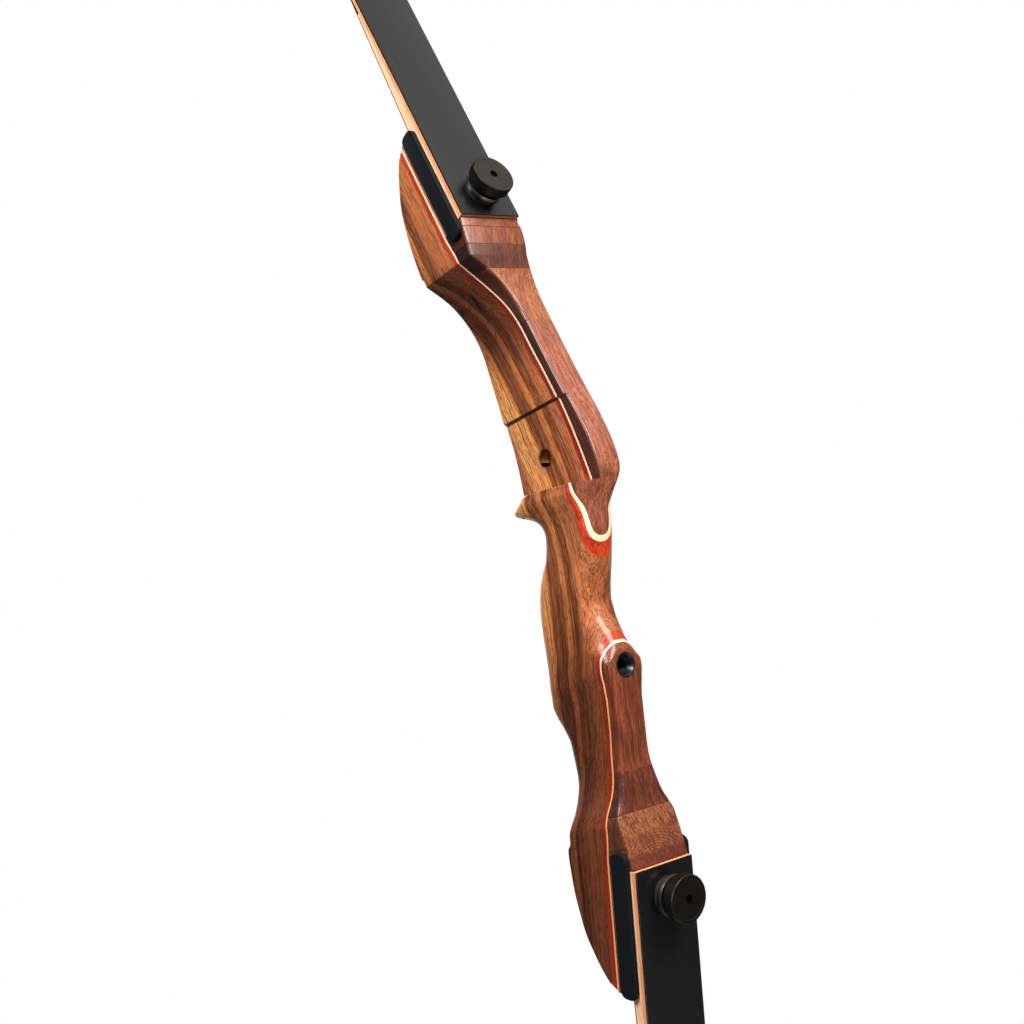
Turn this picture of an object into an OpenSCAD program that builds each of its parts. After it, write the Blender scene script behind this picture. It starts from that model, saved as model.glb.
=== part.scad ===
// Take-down recurve bow: a laminated wooden riser, two glass-faced limbs and the hardware that joins
// them. +Z runs up along the bow, +Y to the target, +X to the arrow shelf. The origin is the middle
// of the grip's throat, on the line between the two limb butts.

/* [Riser] */
// Height of each limb butt above and below the grip's throat
butt_z = 196; // [180:1:215]
// Angle of the limb pads back from the line of the bow
pad_angle = 15.5; // [10:0.5:20]
// Length of each limb pad, from the butt to the riser's tip
pad_len = 72; // [66:1:80]
// Width of the riser at the pads
riser_w = 44.6; // [40:0.1:50]
// Half width of the riser behind the sight window
window_back = 21.5; // [18:0.5:24]
// Depth below the limb's back face to which the riser's back runs out at the butt
butt_step = 2.7; // [1:0.1:5]
// Radius of the small rounding along the riser's edges
edge_r = 1.6; // [0.8:0.1:2.4]

/* [Sight window] */
// Height of the arrow shelf above the grip's throat
shelf_z = 23.5; // [21:0.1:28]
// Fall of the shelf to the target, in degrees
shelf_fall = 7; // [0:0.5:9]
// Height of the shelf's upright edge
shelf_band = 5.5; // [4.5:0.1:6.5]
// How far the arrow pass is cut beyond the centre line
pass_cut = 2.7; // [0:0.1:5]
// How far the window above the arrow pass is cut beyond the centre line
window_cut = 1; // [0:0.1:2.5]
// Height of the arrow pass, from the shelf to the small step
pass_h = 51.3; // [44:0.1:58]
// Distance from the butt down to the top of the window
window_top_gap = 25; // [20:1:35]
// Length over which the window's top fades out to full width
window_fade = 53; // [40:1:60]
// Half width of the shelf at its outer edge
shelf_w = 15.5; // [14:0.1:18]

/* [Grip] */
// Half width of the grip at the throat
throat_w = 12.7; // [11:0.1:16]
// Half width of the grip at the palm swell
palm_w = 14; // [12:0.1:18]
// Half width of the riser below the grip
waist_w = 11.7; // [10:0.1:16]

/* [Laminations] */
// Depth of the light lamination below the limb's back face
lam_depth = 22; // [20:0.1:24]
// Thickness of the light lamination
maple_t = 1.2; // [0.8:0.1:3]
// Thickness of the red lamination
red_t = 3.2; // [2:0.1:5]

/* [Side plates] */
// Thickness of the plates that hold the limb sideways
plate_t = 2.8; // [1.5:0.1:4]
// Width of a side plate across the limb's edge
plate_w = 12.5; // [10:0.1:13]
// Length of a side plate
plate_len = 82; // [76:1:88]
// Corner radius of a side plate
plate_r = 4.5; // [2:0.5:5]
// Depth of a side plate's far edge below the limb's back face
plate_depth = 17.3; // [16:0.1:18]
// How far a side plate reaches past the limb's butt
plate_over = 9; // [4:0.5:12]
// Swell of the riser's far side below the upper limb, where that side plate stops at the butt
shoulder = 2.2; // [0:0.1:2.8]

/* [Limbs] */
// Width of a limb at its butt
limb_w = 44; // [38:0.1:48]
// Length of a limb along its back
limb_len = 600; // [540:5:640]
// Length of the limb from its butt to where the recurve starts
limb_straight = 330; // [280:5:360]
// Angle that the recurve turns through
recurve_angle = 62; // [45:1:70]
// Half width of a limb at its string nock
nock_half_w = 7.6; // [6:0.1:10]
// Distance of the string nock from the limb's tip
nock_from_tip = 14; // [10:1:20]
// Depth of a string nock
nock_depth = 2.4; // [1.5:0.1:3]
// Thickness of the glass on each face of a limb
glass_t = 0.9; // [0.6:0.1:1.3]
// Thickness of the wood core at the butt
core_t = 2.6; // [2:0.1:4]
// Thickness of the wood core at the tip
core_tip_t = 1.7; // [1.2:0.1:2]
// Thickness of the butt wedge
wedge_t = 10.1; // [8:0.1:12]
// Length of the butt wedge
wedge_len = 190; // [160:5:220]
// Length of the tip overlay
overlay_len = 46; // [36:1:60]
// Thickness of the tip overlay
overlay_t = 4; // [2:0.1:5]

/* [Limb bolts] */
// Distance of a limb bolt from the limb's butt
bolt_from_butt = 17.5; // [15:0.5:22]
// Radius of a limb bolt
bolt_r = 3.95; // [3:0.05:4.5]
// Length of the bolt's thread in its insert
bolt_grip = 30; // [20:1:34]
// Radius of a knob
knob_r = 13.7; // [11:0.1:16]
// Thickness of a knob's knurled head
knob_t = 7; // [5:0.1:9]
// Radius of a knob's neck
neck_r = 9.4; // [8:0.1:10.5]
// Height of a knob's neck
neck_h = 2.6; // [2:0.1:4]
// Width across the flats of the hex socket
hex_af = 4.8; // [4:0.1:6]
// Depth of the hex socket
hex_depth = 3; // [2:0.1:3.5]
// Radius of the thrust collar
collar_r = 12; // [11:0.1:13]
// Thickness of the thrust collar
collar_t = 3.5; // [2.5:0.1:4.5]
// Radius of the limb washer
washer_r = 10.6; // [9:0.1:11.5]
// Thickness of the limb washer
washer_t = 3.5; // [2:0.1:4.5]
// Radius of the brass insert in the riser
insert_r = 7; // [6:0.1:8]
// Distance of the locating pin from the limb's butt
pin_from_butt = 52; // [45:1:60]
// Radius of the locating pin
pin_r = 3; // [2.5:0.1:4]
// Height of the locating pin above the pad
pin_h = 6; // [4:0.1:6.5]

/* [Bushings] */
// Height of the stabilizer bushing below the grip's throat
stab_z = -84.8; // [-90:0.1:-80]
// Tilt of the stabilizer bushing below level
stab_tilt = 11; // [0:1:15]
// Radius of the stabilizer bushing's flange
stab_flange_r = 7.25; // [6.8:0.05:8]
// Radius of the stabilizer bushing's body
stab_r = 5.6; // [5:0.1:6]
// Length of the stabilizer bushing
stab_len = 22; // [18:1:26]
// Radius of the 5/16 in thread in the stabilizer and plunger bushings
thread_r = 3.97; // [3:0.01:4]
// Height of the plunger hole above the grip's throat
plunger_z = 45.4; // [42:0.1:50]
// Distance of the plunger hole behind the centre line
plunger_y = -12.4; // [-18:0.1:-8]
// Radius of the plunger hole
plunger_r = 5.5; // [5:0.1:6.5]
// Length of the plunger bushing
plunger_len = 12; // [8:1:14]
// Height of the lower sight bushing above the grip's throat
sight_z = 92; // [88:1:100]
// Distance between the two sight bushings
sight_gap = 33.3; // [25:0.1:38]
// Radius of a sight bushing
sight_r = 4; // [3.5:0.1:5]
// Radius of the thread in a sight bushing
sight_thread_r = 2.4; // [2:0.1:2.6]
// Length of a sight bushing
sight_len = 11; // [8:1:13]

/* [Hidden] */
$fn = 64;
// Gap between pieces that move apart
gap = 0.3;
// Gap round a piece that is glued or pressed into its hole
fit = 0.02;
// Gap between a limb's butt and the riser's wall
butt_gap = 0.6;
// Longest step between two cross-sections of the riser
step = 6.5;
// Height of a riser step, such as the shelf's floor, along the bow
ledge = 0.05;
half_w = riser_w / 2;
cp = cos(pad_angle);
sp = sin(pad_angle);
// A station s is the height at which a cross-section meets the plane y = 0. From the butt outwards
// the cross-sections lie square to the pads.
tip = butt_z + pad_len / cp;
core_tip = tip - 2.4;
window_top = butt_z - window_top_gap;
fade_end = window_top - window_fade;
pass_top = shelf_z + pass_h;
band_low = shelf_z - shelf_band;
limb_t0 = 2 * glass_t + core_t + wedge_t;
limb_slope = wedge_t / wedge_len;
stab_y = 11.4;

// A smooth curve through [position, value] points that never overshoots them
function rise(p, i) = (p[i + 1][1] - p[i][1]) / (p[i + 1][0] - p[i][0]);
function lean(p, i) =
    i == 0 || i == len(p) - 1 || rise(p, i - 1) * rise(p, i) <= 0 ? 0
    : 2 / (1 / rise(p, i - 1) + 1 / rise(p, i));
function span(p, t, i = 0) = i >= len(p) - 2 || t < p[i + 1][0] ? i : span(p, t, i + 1);
function curve(p, t) =
    let (i = span(p, t), h = p[i + 1][0] - p[i][0], u = min(max((t - p[i][0]) / h, 0), 1))
    p[i][1] * (1 + 2 * u) * (1 - u) * (1 - u) + p[i + 1][1] * u * u * (3 - 2 * u)
    + h * (lean(p, i) * u * (1 - u) * (1 - u) - lean(p, i + 1) * u * u * (1 - u));

// Slope of the cross-section at station s
function tilt(s) = curve([[-butt_z, -tan(pad_angle)], [-window_top, 0], [-30, 0],
    [band_low, -tan(shelf_fall)], [shelf_z, -tan(shelf_fall)], [pass_top, -0.02], [fade_end, 0], [window_top, 0],
    [butt_z, tan(pad_angle)]], s);
// The y of a face that lies h from the limb's back face, square to it, at a station past the butt
function pad_y(s, h) = h * cp - (abs(s) - butt_z) * cp * sp;
function station_to_pad(s) = (abs(s) - butt_z) * cp;
// Middle of the light lamination, which follows the pads and bends in towards the grip
lam_end = pad_y(window_top, -lam_depth);
upper_lam = [[-24, 19.8], [-10, 20.3], [0, 21.4], [11, 22.2], [24, 21.5], [51, 17.8],
    [75, 12.8], [93, 7.8], [112, 1.9], [136, lam_end + 10.3], [window_top, lam_end]];
lower_lam = [[-window_top, lam_end], [-150, lam_end + 5.6], [-134, -6.4], [-119, -2.7],
    [-105, 0.9], [-93, 3.7], [-86, 5.2], [-80, 7.1], [-75, 9.3], [-70, 11.7], [-66, 12.9],
    [-60, 14.5]];
function lam_y(s) = abs(s) >= window_top ? pad_y(s, -lam_depth)
    : curve(s > -45 ? upper_lam : lower_lam, s);
function maple_back(s) = lam_y(s) + maple_t / 2 / cp;
function maple_belly(s) = lam_y(s) - maple_t / 2 / cp;
function red_belly(s) = maple_belly(s) - red_t / cp;
// Belly and back of the riser along its middle
tip_y = pad_y(tip, -lam_depth - maple_t);
belly = [[-tip, tip_y], [-tip + 4, -46.8], [-tip + 16, -53], [-tip + 33, -57.4],
    [-tip + 48, -57.8], [-butt_z - 5, -55.6], [-butt_z + 8, -53], [-window_top - 5, -50.6],
    [-window_top + 8, -48], [-150, -45.6], [-139, -43.8], [-120, -44], [-110, -47],
    [-103, -50.4], [-97, -52], [-90, -50.4], [-73, -46.5], [-60, -44.4], [-43, -41.5],
    [-30, -36.8], [-21, -31], [-13, -24], [-6, -20.6], [-1, -19.6], [3.6, -20.6], [6.8, -23.8],
    [9.3, -29.8], [11.3, -36.8], [12.8, -41.4], [14.3, -43.1], [17.5, -43.7], [21, -42.9],
    [24, -41.6], [55, -39.8], [75, -40.7], [102, -42], [130, -43.8], [155, -47],
    [window_top, -51.4], [butt_z - 10, -53.4], [butt_z + 12, -56.4], [tip - 46, -57.6],
    [tip - 33, -57.2], [tip - 16, -52.8], [tip - 4, -46.6], [tip, tip_y]];
wall_y = pad_y(butt_z, -butt_step);
back = [[-butt_z, wall_y], [-180, -2.9], [-166, -3.7], [-150, -1.9], [-138, -1], [-120, 3.4],
    [-100, 7.9], [-92, 10], [-86, 11.4], [-83, 11.6], [-77, 12.6], [-73, 12], [-66, 9.9],
    [-61, 8.3], [-54, 6.3], [-46, 5.6], [-39.5, 7.6], [-32, 11], [-23, 15.8], [-13.4, 19.7], [-10, 21],
    [-2, 22.9], [8, 24.2], [16, 26], [22, 28], [28, 29.2], [36, 29.4], [44, 28.6], [60, 24.8],
    [80, 18.3], [100, 12.4], [122, 6.3], [141, 1.3], [152, -0.6], [165, -1.9], [180, -2.1],
    [butt_z, wall_y]];
// Half widths of the section below the window, which both sides share up to the throat
lower_side = [[-window_top, half_w], [-165, 20.8], [-158, 17.8], [-150, 15], [-141, 13.2],
    [-132, 12.4], [-119, waist_w], [-105, waist_w + 0.1], [-93, 12.8], [-86, 13.8],
    [-60, palm_w], [-35, 13.4], [-18, throat_w], [-6, throat_w]];
right_side = concat(lower_side, [[4, 13.4], [11, 15], [18, 17.4], [25, 20.2],
    [33, window_back], [150, window_back], [window_top, half_w]]);
left_side = concat(lower_side, [[1, 13], [8, 14.4], [band_low, shelf_w + 0.8],
    [shelf_z - 2.5, shelf_w + 0.2], [shelf_z - 0.8, shelf_w], [shelf_z, shelf_w - 0.8]]);
fade_rise = half_w + window_cut;
fade_r = (fade_rise * fade_rise + window_fade * window_fade) / (2 * fade_rise);
function window_x(s) =
    s >= window_top ? half_w
    : s > fade_end ? fade_r - window_cut - sqrt(fade_r * fade_r - pow(s - fade_end, 2))
    : -curve([[pass_top - 0.6, pass_cut], [pass_top + 0.6, window_cut]], s);
function left_x(s) = s > shelf_z ? window_x(s) : curve(left_side, s);
function right_x(s) =
    s > window_top && s < butt_z ? half_w + curve([[window_top, 0], [window_top + 8, shoulder * 0.8],
        [butt_z - 10, shoulder], [butt_z - 6, shoulder], [butt_z, 0]], s)
    : abs(s) >= window_top ? half_w : curve(right_side, s);
// Corner roundings, as [depth of the rounding, half width of the flat it leaves, depth at which
// it starts]
function corner(depths, flats, s) = [curve(depths, s), curve(flats, s), 0];
belly_depths = [[-window_top, edge_r * 1.4], [-158, 8], [-145, 10], [-110, 10], [-90, 13],
    [-40, 14], [-8, 12], [4, 14]];
belly_flats = [[-window_top, half_w - edge_r], [-158, 12.3], [-145, 7], [-110, 4.2], [-90, 3.1],
    [-40, 3], [-8, 2.9], [4, 2.5]];
function belly_left(s) =
    s > shelf_z ? [edge_r * 1.4, window_x(s) - edge_r, 0]
    : s > 4 ? [curve([[4, 14], [band_low - 4, 22]], s),
        curve([[4, 2.5], [band_low - 4, 0], [band_low, -pass_cut]], s),
        curve([[shelf_z - 10, 0], [shelf_z - 5, 3], [shelf_z - 2.5, 4.8], [shelf_z - 0.8, 6.3],
            [shelf_z, 7.4]], s)]
    : corner(belly_depths, belly_flats, s);
function belly_right(s) = corner(
    concat(belly_depths, [[12, 20], [30, 14], [60, 9], [145, 8], [window_top, edge_r * 1.4]]),
    concat(belly_flats, [[12, 2.5], [30, 11], [60, 15.5], [145, 16],
        [window_top, half_w - edge_r]]), s);
back_depths = [[-window_top, edge_r * 1.4], [-155, 5], [-95, 5.5], [-83, 5.5], [-77, 10],
    [-70, 16], [-61, 13], [-46, 8.5], [-20, 8]];
back_flats = [[-window_top, half_w - edge_r], [-155, 13.5], [-146, 11.5], [-132, 9.8],
    [-119, waist_w - 2.2], [-105, waist_w - 2], [-93, 11], [-83, 12], [-77, 4], [-70, 1],
    [-60, 0.6], [-20, 0.4]];
function back_left(s) = s > shelf_z ? [edge_r * 1.4, window_x(s) - edge_r, 0]
    : corner(concat(back_depths, [[-8, 6.3], [4, 6.3], [band_low - 2, 8], [shelf_z, 10]]),
        concat(back_flats, [[4, 0.6], [band_low - 2, 1.5], [shelf_z, 1.5]]), s);
function back_right(s) =
    corner(concat(back_depths, [[6, 8], [20, 7], [32, 3], [window_top, edge_r * 1.4]]),
        concat(back_flats, [[6, 2], [20, 13.5], [32, window_back - 2],
            [150, window_back - edge_r], [window_top, half_w - edge_r]]), s);
// How far a corner of a section of half width x is rounded in at depth t
function cut(t, x, c) =
    let (u = max(t - c[2], 0))
    u >= c[0] ? 0 : (x - c[1]) * (1 - sqrt(1 - pow((c[0] - u) / c[0], 2)));
function belly_y(s) = curve(belly, s);
function back_y(s) = abs(s) > butt_z ? pad_face(s) : curve(back, s);
function pad_face(s) = pad_y(s, -limb_t0 - gap + limb_slope * station_to_pad(s));
// The window's fade leans in towards the back, in front of the light lamination
function lean_in(s, y) = s < fade_end || s > window_top ? 0
    : curve([[fade_end, 0], [fade_end + 18, 2], [window_top - 14, 3.2], [window_top, 0]], s)
    * min(max((y - maple_back(s)) / (back_y(s) - maple_back(s)), 0), 1);
function left_at(s, y) =
    let (x = left_x(s))
    x - lean_in(s, y) - cut(y - belly_y(s), x, belly_left(s))
    - (abs(s) > butt_z ? 0 : cut(back_y(s) - y, x, back_left(s)));
function right_at(s, y) =
    let (x = right_x(s))
    x - cut(y - belly_y(s), x, belly_right(s))
    - (abs(s) > butt_z ? 0 : cut(back_y(s) - y, x, back_right(s)));

// Stations where the laminations come out of the riser's back, at the grip
up_red = -22.6;
up_maple = -13.2;
up_block = -9.4;
low_red = -64.8;
low_maple = -70.35;
low_block = -72.1;
// Stations where two blocks of the back meet
up_joints = [for (d = [5.5, 17.5, 33.5, 69.5]) butt_z - d];
low_joints = [for (d = [7, 31, 54]) d - butt_z];
// Stations between a and b, with every break in the shape among them
breaks = [-tip, -core_tip, -butt_z, low_joints[0], -window_top, low_joints[1], low_joints[2], -120, -97, -78, low_block,
    low_maple, low_red, -45, up_red, up_maple, up_block, 0, 6.8, 9.3, 11.3, 14.3, band_low,
    shelf_z - 2.5, shelf_z - 0.8, shelf_z, shelf_z + ledge, shelf_z + 8, pass_top - 0.6,
    pass_top + 0.6, fade_end, up_joints[3], 142, up_joints[2], window_top, up_joints[1], up_joints[0],
    butt_z, core_tip, tip];
stations = [for (i = [0:len(breaks) - 2])
    let (a = breaks[i], b = breaks[i + 1], n = max(ceil((b - a) / step), 1))
    for (j = [0:n - 1]) a + (b - a) * j / n, tip];
function between(a, b) = [for (s = stations) if (s >= a - 0.001 && s <= b + 0.001) s];

// A closed solid through the riser's cross-sections between stations a and b. Kind names the layer:
// 0 core, 1 red lamination, 2 light lamination, 3 back, 4 limb pad.
function low_y(s, kind) = max(belly_y(s),
    kind == 0 ? belly_y(s) : kind == 1 ? red_belly(s) : kind == 2 ? maple_belly(s) : maple_back(s));
function top_y(s, kind) = kind == 4 ? pad_face(s) : min(back_y(s),
    kind == 0 ? red_belly(s) : kind == 1 ? maple_belly(s) : kind == 2 ? maple_back(s) : back_y(s));
function ring(s, kind, n) =
    let (lo = low_y(s, kind), hi = top_y(s, kind),
        ys = [for (i = [0:n]) lo + (hi - lo) * (1 - cos(180 * i / n)) / 2])
    concat([for (y = ys) [left_at(s, y), y, s + tilt(s) * y]],
        [for (i = [n:-1:0]) [-right_at(s, ys[i]), ys[i], s + tilt(s) * ys[i]]]);
module layer(a, b, kind, n) {
    ss = between(a, b);
    m = 2 * n + 2;
    last = len(ss) - 1;
    points = [for (s = ss) each ring(s, kind, n)];
    sides = [for (i = [0:last - 1], j = [0:m - 1])
        let (k = (j + 1) % m, p = i * m)
        each [[p + j, p + m + j, p + m + k], [p + j, p + m + k, p + k]]];
    ends = [for (j = [0:n - 1])
        let (k = m - 1 - j, q = last * m)
        each [[j, j + 1, k], [j + 1, k - 1, k], [q + j, q + k, q + j + 1],
            [q + j + 1, q + k, q + k - 1]]];
    polyhedron(points, concat(sides, ends));
}

// Places what is drawn for an upper pad, +Z along the limb and +Y square to its back: end 1 is the
// upper one and end -1 the lower one
module at_pad(end) {
    mirror([0, 0, end < 0 ? 1 : 0])
        translate([0, 0, butt_z]) rotate([pad_angle, 0, 0]) children();
}
module across(z, y) {
    translate([0, y, z]) rotate([-90, 0, 0]) children();
}
pad_at_bolt = -limb_t0 - gap + limb_slope * bolt_from_butt;
pad_at_pin = -limb_t0 - gap + limb_slope * pin_from_butt;
insert_top = pad_at_bolt - 0.2;
insert_len = bolt_grip + 2;
pin_deep = 16;
module pad_holes(end) {
    at_pad(end) {
        across(bolt_from_butt, insert_top - insert_len - 1)
            cylinder(r = insert_r + fit, h = insert_len + 10);
        across(pin_from_butt, pad_at_pin - pin_deep)
            cylinder(r = pin_r + fit, h = pin_deep + 10);
    }
}
module at_stabilizer() {
    translate([0, stab_y, stab_z]) rotate([-90 - stab_tilt, 0, 0]) children();
}
module stabilizer_hole() {
    at_stabilizer() {
        translate([0, 0, -stab_len - 1]) cylinder(r = stab_r + fit, h = stab_len + 12);
        translate([0, 0, -1.5]) cylinder(r = stab_flange_r + fit, h = 12);
    }
}
module from_far_side(y, z, x) {
    translate([x, y, z]) rotate([0, 90, 0]) children();
}

module riser_core() {
    color("#6e4428") difference() {
        layer(-core_tip, core_tip, 0, 13);
        pad_holes(1);
        pad_holes(-1);
        stabilizer_hole();
        from_far_side(plunger_y, plunger_z, -40) cylinder(r = plunger_r + fit, h = 60);
        for (i = [0, 1])
            from_far_side(plunger_y, sight_z + i * sight_gap, -40)
                cylinder(r = sight_r + fit, h = 40 - window_back + sight_len + 1);
    }
}
module upper_red_lamination() {
    color("#c43a16") difference() {
        layer(up_red, tip, 1, 4);
        pad_holes(1);
    }
}
module upper_maple_lamination() {
    color("#f0d9ae") difference() {
        layer(up_maple, tip, 2, 2);
        pad_holes(1);
    }
}
module lower_red_lamination() {
    color("#a8301a") difference() {
        layer(-tip, low_red, 1, 4);
        pad_holes(-1);
        stabilizer_hole();
    }
}
module lower_maple_lamination() {
    color("#f0d9ae") difference() {
        layer(-tip, low_maple, 2, 2);
        pad_holes(-1);
        stabilizer_hole();
    }
}
module limb_pad(end) {
    color("#5a3622") difference() {
        if (end > 0) layer(butt_z, tip, 4, 1);
        else layer(-tip, -butt_z, 4, 1);
        pad_holes(end);
    }
}
module upper_limb_pad() { limb_pad(1); }
module lower_limb_pad() { limb_pad(-1); }
module upper_back_block_1() { color("#a5532f") layer(up_joints[0], butt_z, 3, 4); }
module upper_back_block_2() { color("#b0603a") layer(up_joints[1], up_joints[0], 3, 4); }
module upper_back_block_3() { color("#7a3c2c") layer(up_joints[2], up_joints[1], 3, 4); }
module upper_back_block_4() { color("#b5683f") layer(up_joints[3], up_joints[2], 3, 4); }
module upper_back_strip() { color("#b0644a") layer(up_block, up_joints[3], 3, 6); }
module lower_back_block_1() { color("#8a3f2a") layer(-butt_z, low_joints[0], 3, 4); }
module lower_back_block_2() { color("#b97045") layer(low_joints[0], low_joints[1], 3, 4); }
module lower_back_block_3() { color("#7a3a28") layer(low_joints[1], low_joints[2], 3, 4); }
module lower_back_strip() {
    color("#84452f") difference() {
        layer(low_joints[2], low_block, 3, 5);
        stabilizer_hole();
    }
}

// Side plates
module plate_outline(len) {
    translate([plate_r, 0]) square([plate_w - 2 * plate_r, len]);
    translate([0, plate_r]) square([plate_w, len - 2 * plate_r]);
    for (x = [plate_r, plate_w - plate_r], y = [plate_r, len - plate_r])
        translate([x, y]) circle(plate_r);
}
module side_plate(end, side, over = plate_over) {
    color("#1c1e20") at_pad(end)
        translate([side > 0 ? half_w : -half_w - plate_t, -plate_depth, -over])
            rotate([0, -90, 0]) mirror([0, 0, 1]) rotate([0, 0, 90]) mirror([0, 1, 0])
                linear_extrude(plate_t) plate_outline(plate_len - plate_over + over);
}
module upper_left_side_plate() { side_plate(1, 1); }
module upper_right_side_plate() { side_plate(1, -1, 0.3); }
module lower_left_side_plate() { side_plate(-1, 1); }
module lower_right_side_plate() { side_plate(-1, -1); }

// Hardware that stays in the riser
module limb_insert(end) {
    color("#b08d4a") at_pad(end) across(bolt_from_butt, insert_top - insert_len) difference() {
        cylinder(r = insert_r, h = insert_len);
        translate([0, 0, -1]) cylinder(r = bolt_r + 0.05, h = insert_len + 2);
    }
}
module upper_limb_insert() { limb_insert(1); }
module lower_limb_insert() { limb_insert(-1); }
module locating_pin(end) {
    color("#b9bcc0") at_pad(end) across(pin_from_butt, pad_at_pin - pin_deep) {
        cylinder(r = pin_r, h = pin_deep + pin_h - 1);
        translate([0, 0, pin_deep + pin_h - 1]) cylinder(r1 = pin_r, r2 = pin_r - 0.8, h = 1);
    }
}
module upper_locating_pin() { locating_pin(1); }
module lower_locating_pin() { locating_pin(-1); }
module stabilizer_bushing() {
    flange_t = 1.9;
    dish = 4;
    color("#151515") at_stabilizer() difference() {
        union() {
            translate([0, 0, -stab_len]) cylinder(r = stab_r, h = stab_len);
            translate([0, 0, -1.5]) cylinder(r = stab_flange_r, h = flange_t);
        }
        translate([0, 0, -stab_len - 1]) cylinder(r = thread_r, h = stab_len + 4);
        translate([0, 0, flange_t - 1.5 - dish])
            cylinder(r1 = thread_r, r2 = stab_flange_r - 0.9, h = dish + 0.01);
    }
}
module plunger_bushing() {
    color("#b08d4a") from_far_side(plunger_y, plunger_z, -window_back) difference() {
        cylinder(r = plunger_r, h = plunger_len);
        translate([0, 0, -1]) cylinder(r = thread_r, h = plunger_len + 2);
    }
}
module sight_bushings() {
    color("#b08d4a") for (i = [0, 1])
        from_far_side(plunger_y, sight_z + i * sight_gap, -window_back) difference() {
            cylinder(r = sight_r, h = sight_len);
            translate([0, 0, -1]) cylinder(r = sight_thread_r, h = sight_len + 2);
        }
}

// Limbs. Each ring of a limb layer is a rectangle across the limb, from depth a to depth b below
// its back face.
limb_steps = 40;
function limb_angle(l) = l < limb_straight ? 0
    : recurve_angle * pow((l - limb_straight) / (limb_len - limb_straight), 1.35);
nock_l = limb_len - nock_from_tip;
notch = [0, 1, 1, 0];
limb_l = concat([for (i = [0:limb_steps - 2])
    butt_gap + (nock_l - 3 - butt_gap) * i / (limb_steps - 2)],
    [nock_l - 1, nock_l + 1, nock_l + 3, limb_len - 4, limb_len]);
spine = [for (i = 0, z = butt_gap, y = 0; i < len(limb_l);
    d = i + 1 < len(limb_l) ? limb_l[i + 1] - limb_l[i] : 0,
    m = i + 1 < len(limb_l) ? limb_angle((limb_l[i + 1] + limb_l[i]) / 2) : 0,
    z = z + d * cos(m), y = y + d * sin(m), i = i + 1) [z, y]];
function nocked(l) = abs(l - nock_l) < 1.5 ? nock_depth : 0;
function limb_half(l) = curve([[0, limb_w / 2], [limb_straight * 0.7, limb_w / 2],
    [limb_len * 0.8, limb_w * 0.31], [nock_l, nock_half_w], [limb_len - 4, nock_half_w - 1],
    [limb_len, nock_half_w - 3]], l) - nocked(l);
function core_at(l) = core_t + (core_tip_t - core_t) * l / limb_len;
function wedge_at(l) = wedge_t * max(1 - l / wedge_len, 0);
// Depths of the joints between the layers: back face, glass, core, wedge, belly glass
function depth(l, i) = i < 0 ? -overlay_at(l) : i == 0 ? 0 : i == 1 ? glass_t
    : i == 2 ? glass_t + core_at(l)
    : i == 3 ? glass_t + core_at(l) + wedge_at(l)
    : 2 * glass_t + core_at(l) + wedge_at(l);
overlay_start = limb_len - overlay_len;
function overlay_at(l) = curve([[overlay_start, 0.3], [overlay_start + 20, overlay_t],
    [limb_len - 8, overlay_t], [limb_len, overlay_t * 0.55]], l);
module limb_layer(a, b, first, last) {
    use = [for (i = [0:len(limb_l) - 1]) if (limb_l[i] >= first && limb_l[i] <= last) i];
    points = [for (i = use)
        let (l = limb_l[i], t = limb_angle(l), w = limb_half(l), n = [-sin(t), cos(t)])
        each [for (c = [[w, a], [w, b], [-w, b], [-w, a]])
            [c[0], spine[i][1] - depth(l, c[1]) * n[1], spine[i][0] - depth(l, c[1]) * n[0]]]];
    q = 4 * (len(use) - 1);
    sides = [for (i = [0:len(use) - 2], j = [0:3])
        let (k = (j + 1) % 4, p = 4 * i)
        each [[p + j, p + 4 + k, p + 4 + j], [p + j, p + k, p + 4 + k]]];
    polyhedron(points, concat(sides, [[0, 3, 2], [0, 2, 1], [q, q + 1, q + 2], [q, q + 2, q + 3]]));
}
module limb_bolt_hole() {
    across(bolt_from_butt, -limb_t0 - 5) cylinder(r = bolt_r + gap, h = limb_t0 + 10);
}
module limb_pin_hole() {
    across(pin_from_butt, -limb_t0 - 5)
        cylinder(r = pin_r + 0.05, h = limb_t0 + 5 + pad_at_pin + pin_h + gap);
}
module back_glass(end) {
    color("#2b2c2e") at_pad(end) difference() {
        limb_layer(0, 1, 0, limb_len);
        limb_bolt_hole();
    }
}
module limb_core(end) {
    color("#d98f5c") at_pad(end) difference() {
        limb_layer(1, 2, 0, limb_len);
        limb_bolt_hole();
    }
}
module limb_wedge(end) {
    color("#e2b184") at_pad(end) difference() {
        limb_layer(2, 3, 0, wedge_len - 8);
        limb_bolt_hole();
        limb_pin_hole();
    }
}
module belly_glass(end) {
    color("#c9a583") at_pad(end) difference() {
        limb_layer(3, 4, 0, limb_len);
        limb_bolt_hole();
        limb_pin_hole();
    }
}
module tip_overlay(end) {
    color("#3a2a22") at_pad(end) limb_layer(-1, 0, overlay_start, limb_len);
}
module upper_back_glass() { back_glass(1); }
module upper_limb_core() { limb_core(1); }
module upper_limb_wedge() { limb_wedge(1); }
module upper_belly_glass() { belly_glass(1); }
module upper_tip_overlay() { tip_overlay(1); }
module lower_back_glass() { back_glass(-1); }
module lower_limb_core() { limb_core(-1); }
module lower_limb_wedge() { limb_wedge(-1); }
module lower_belly_glass() { belly_glass(-1); }
module lower_tip_overlay() { tip_overlay(-1); }

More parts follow.
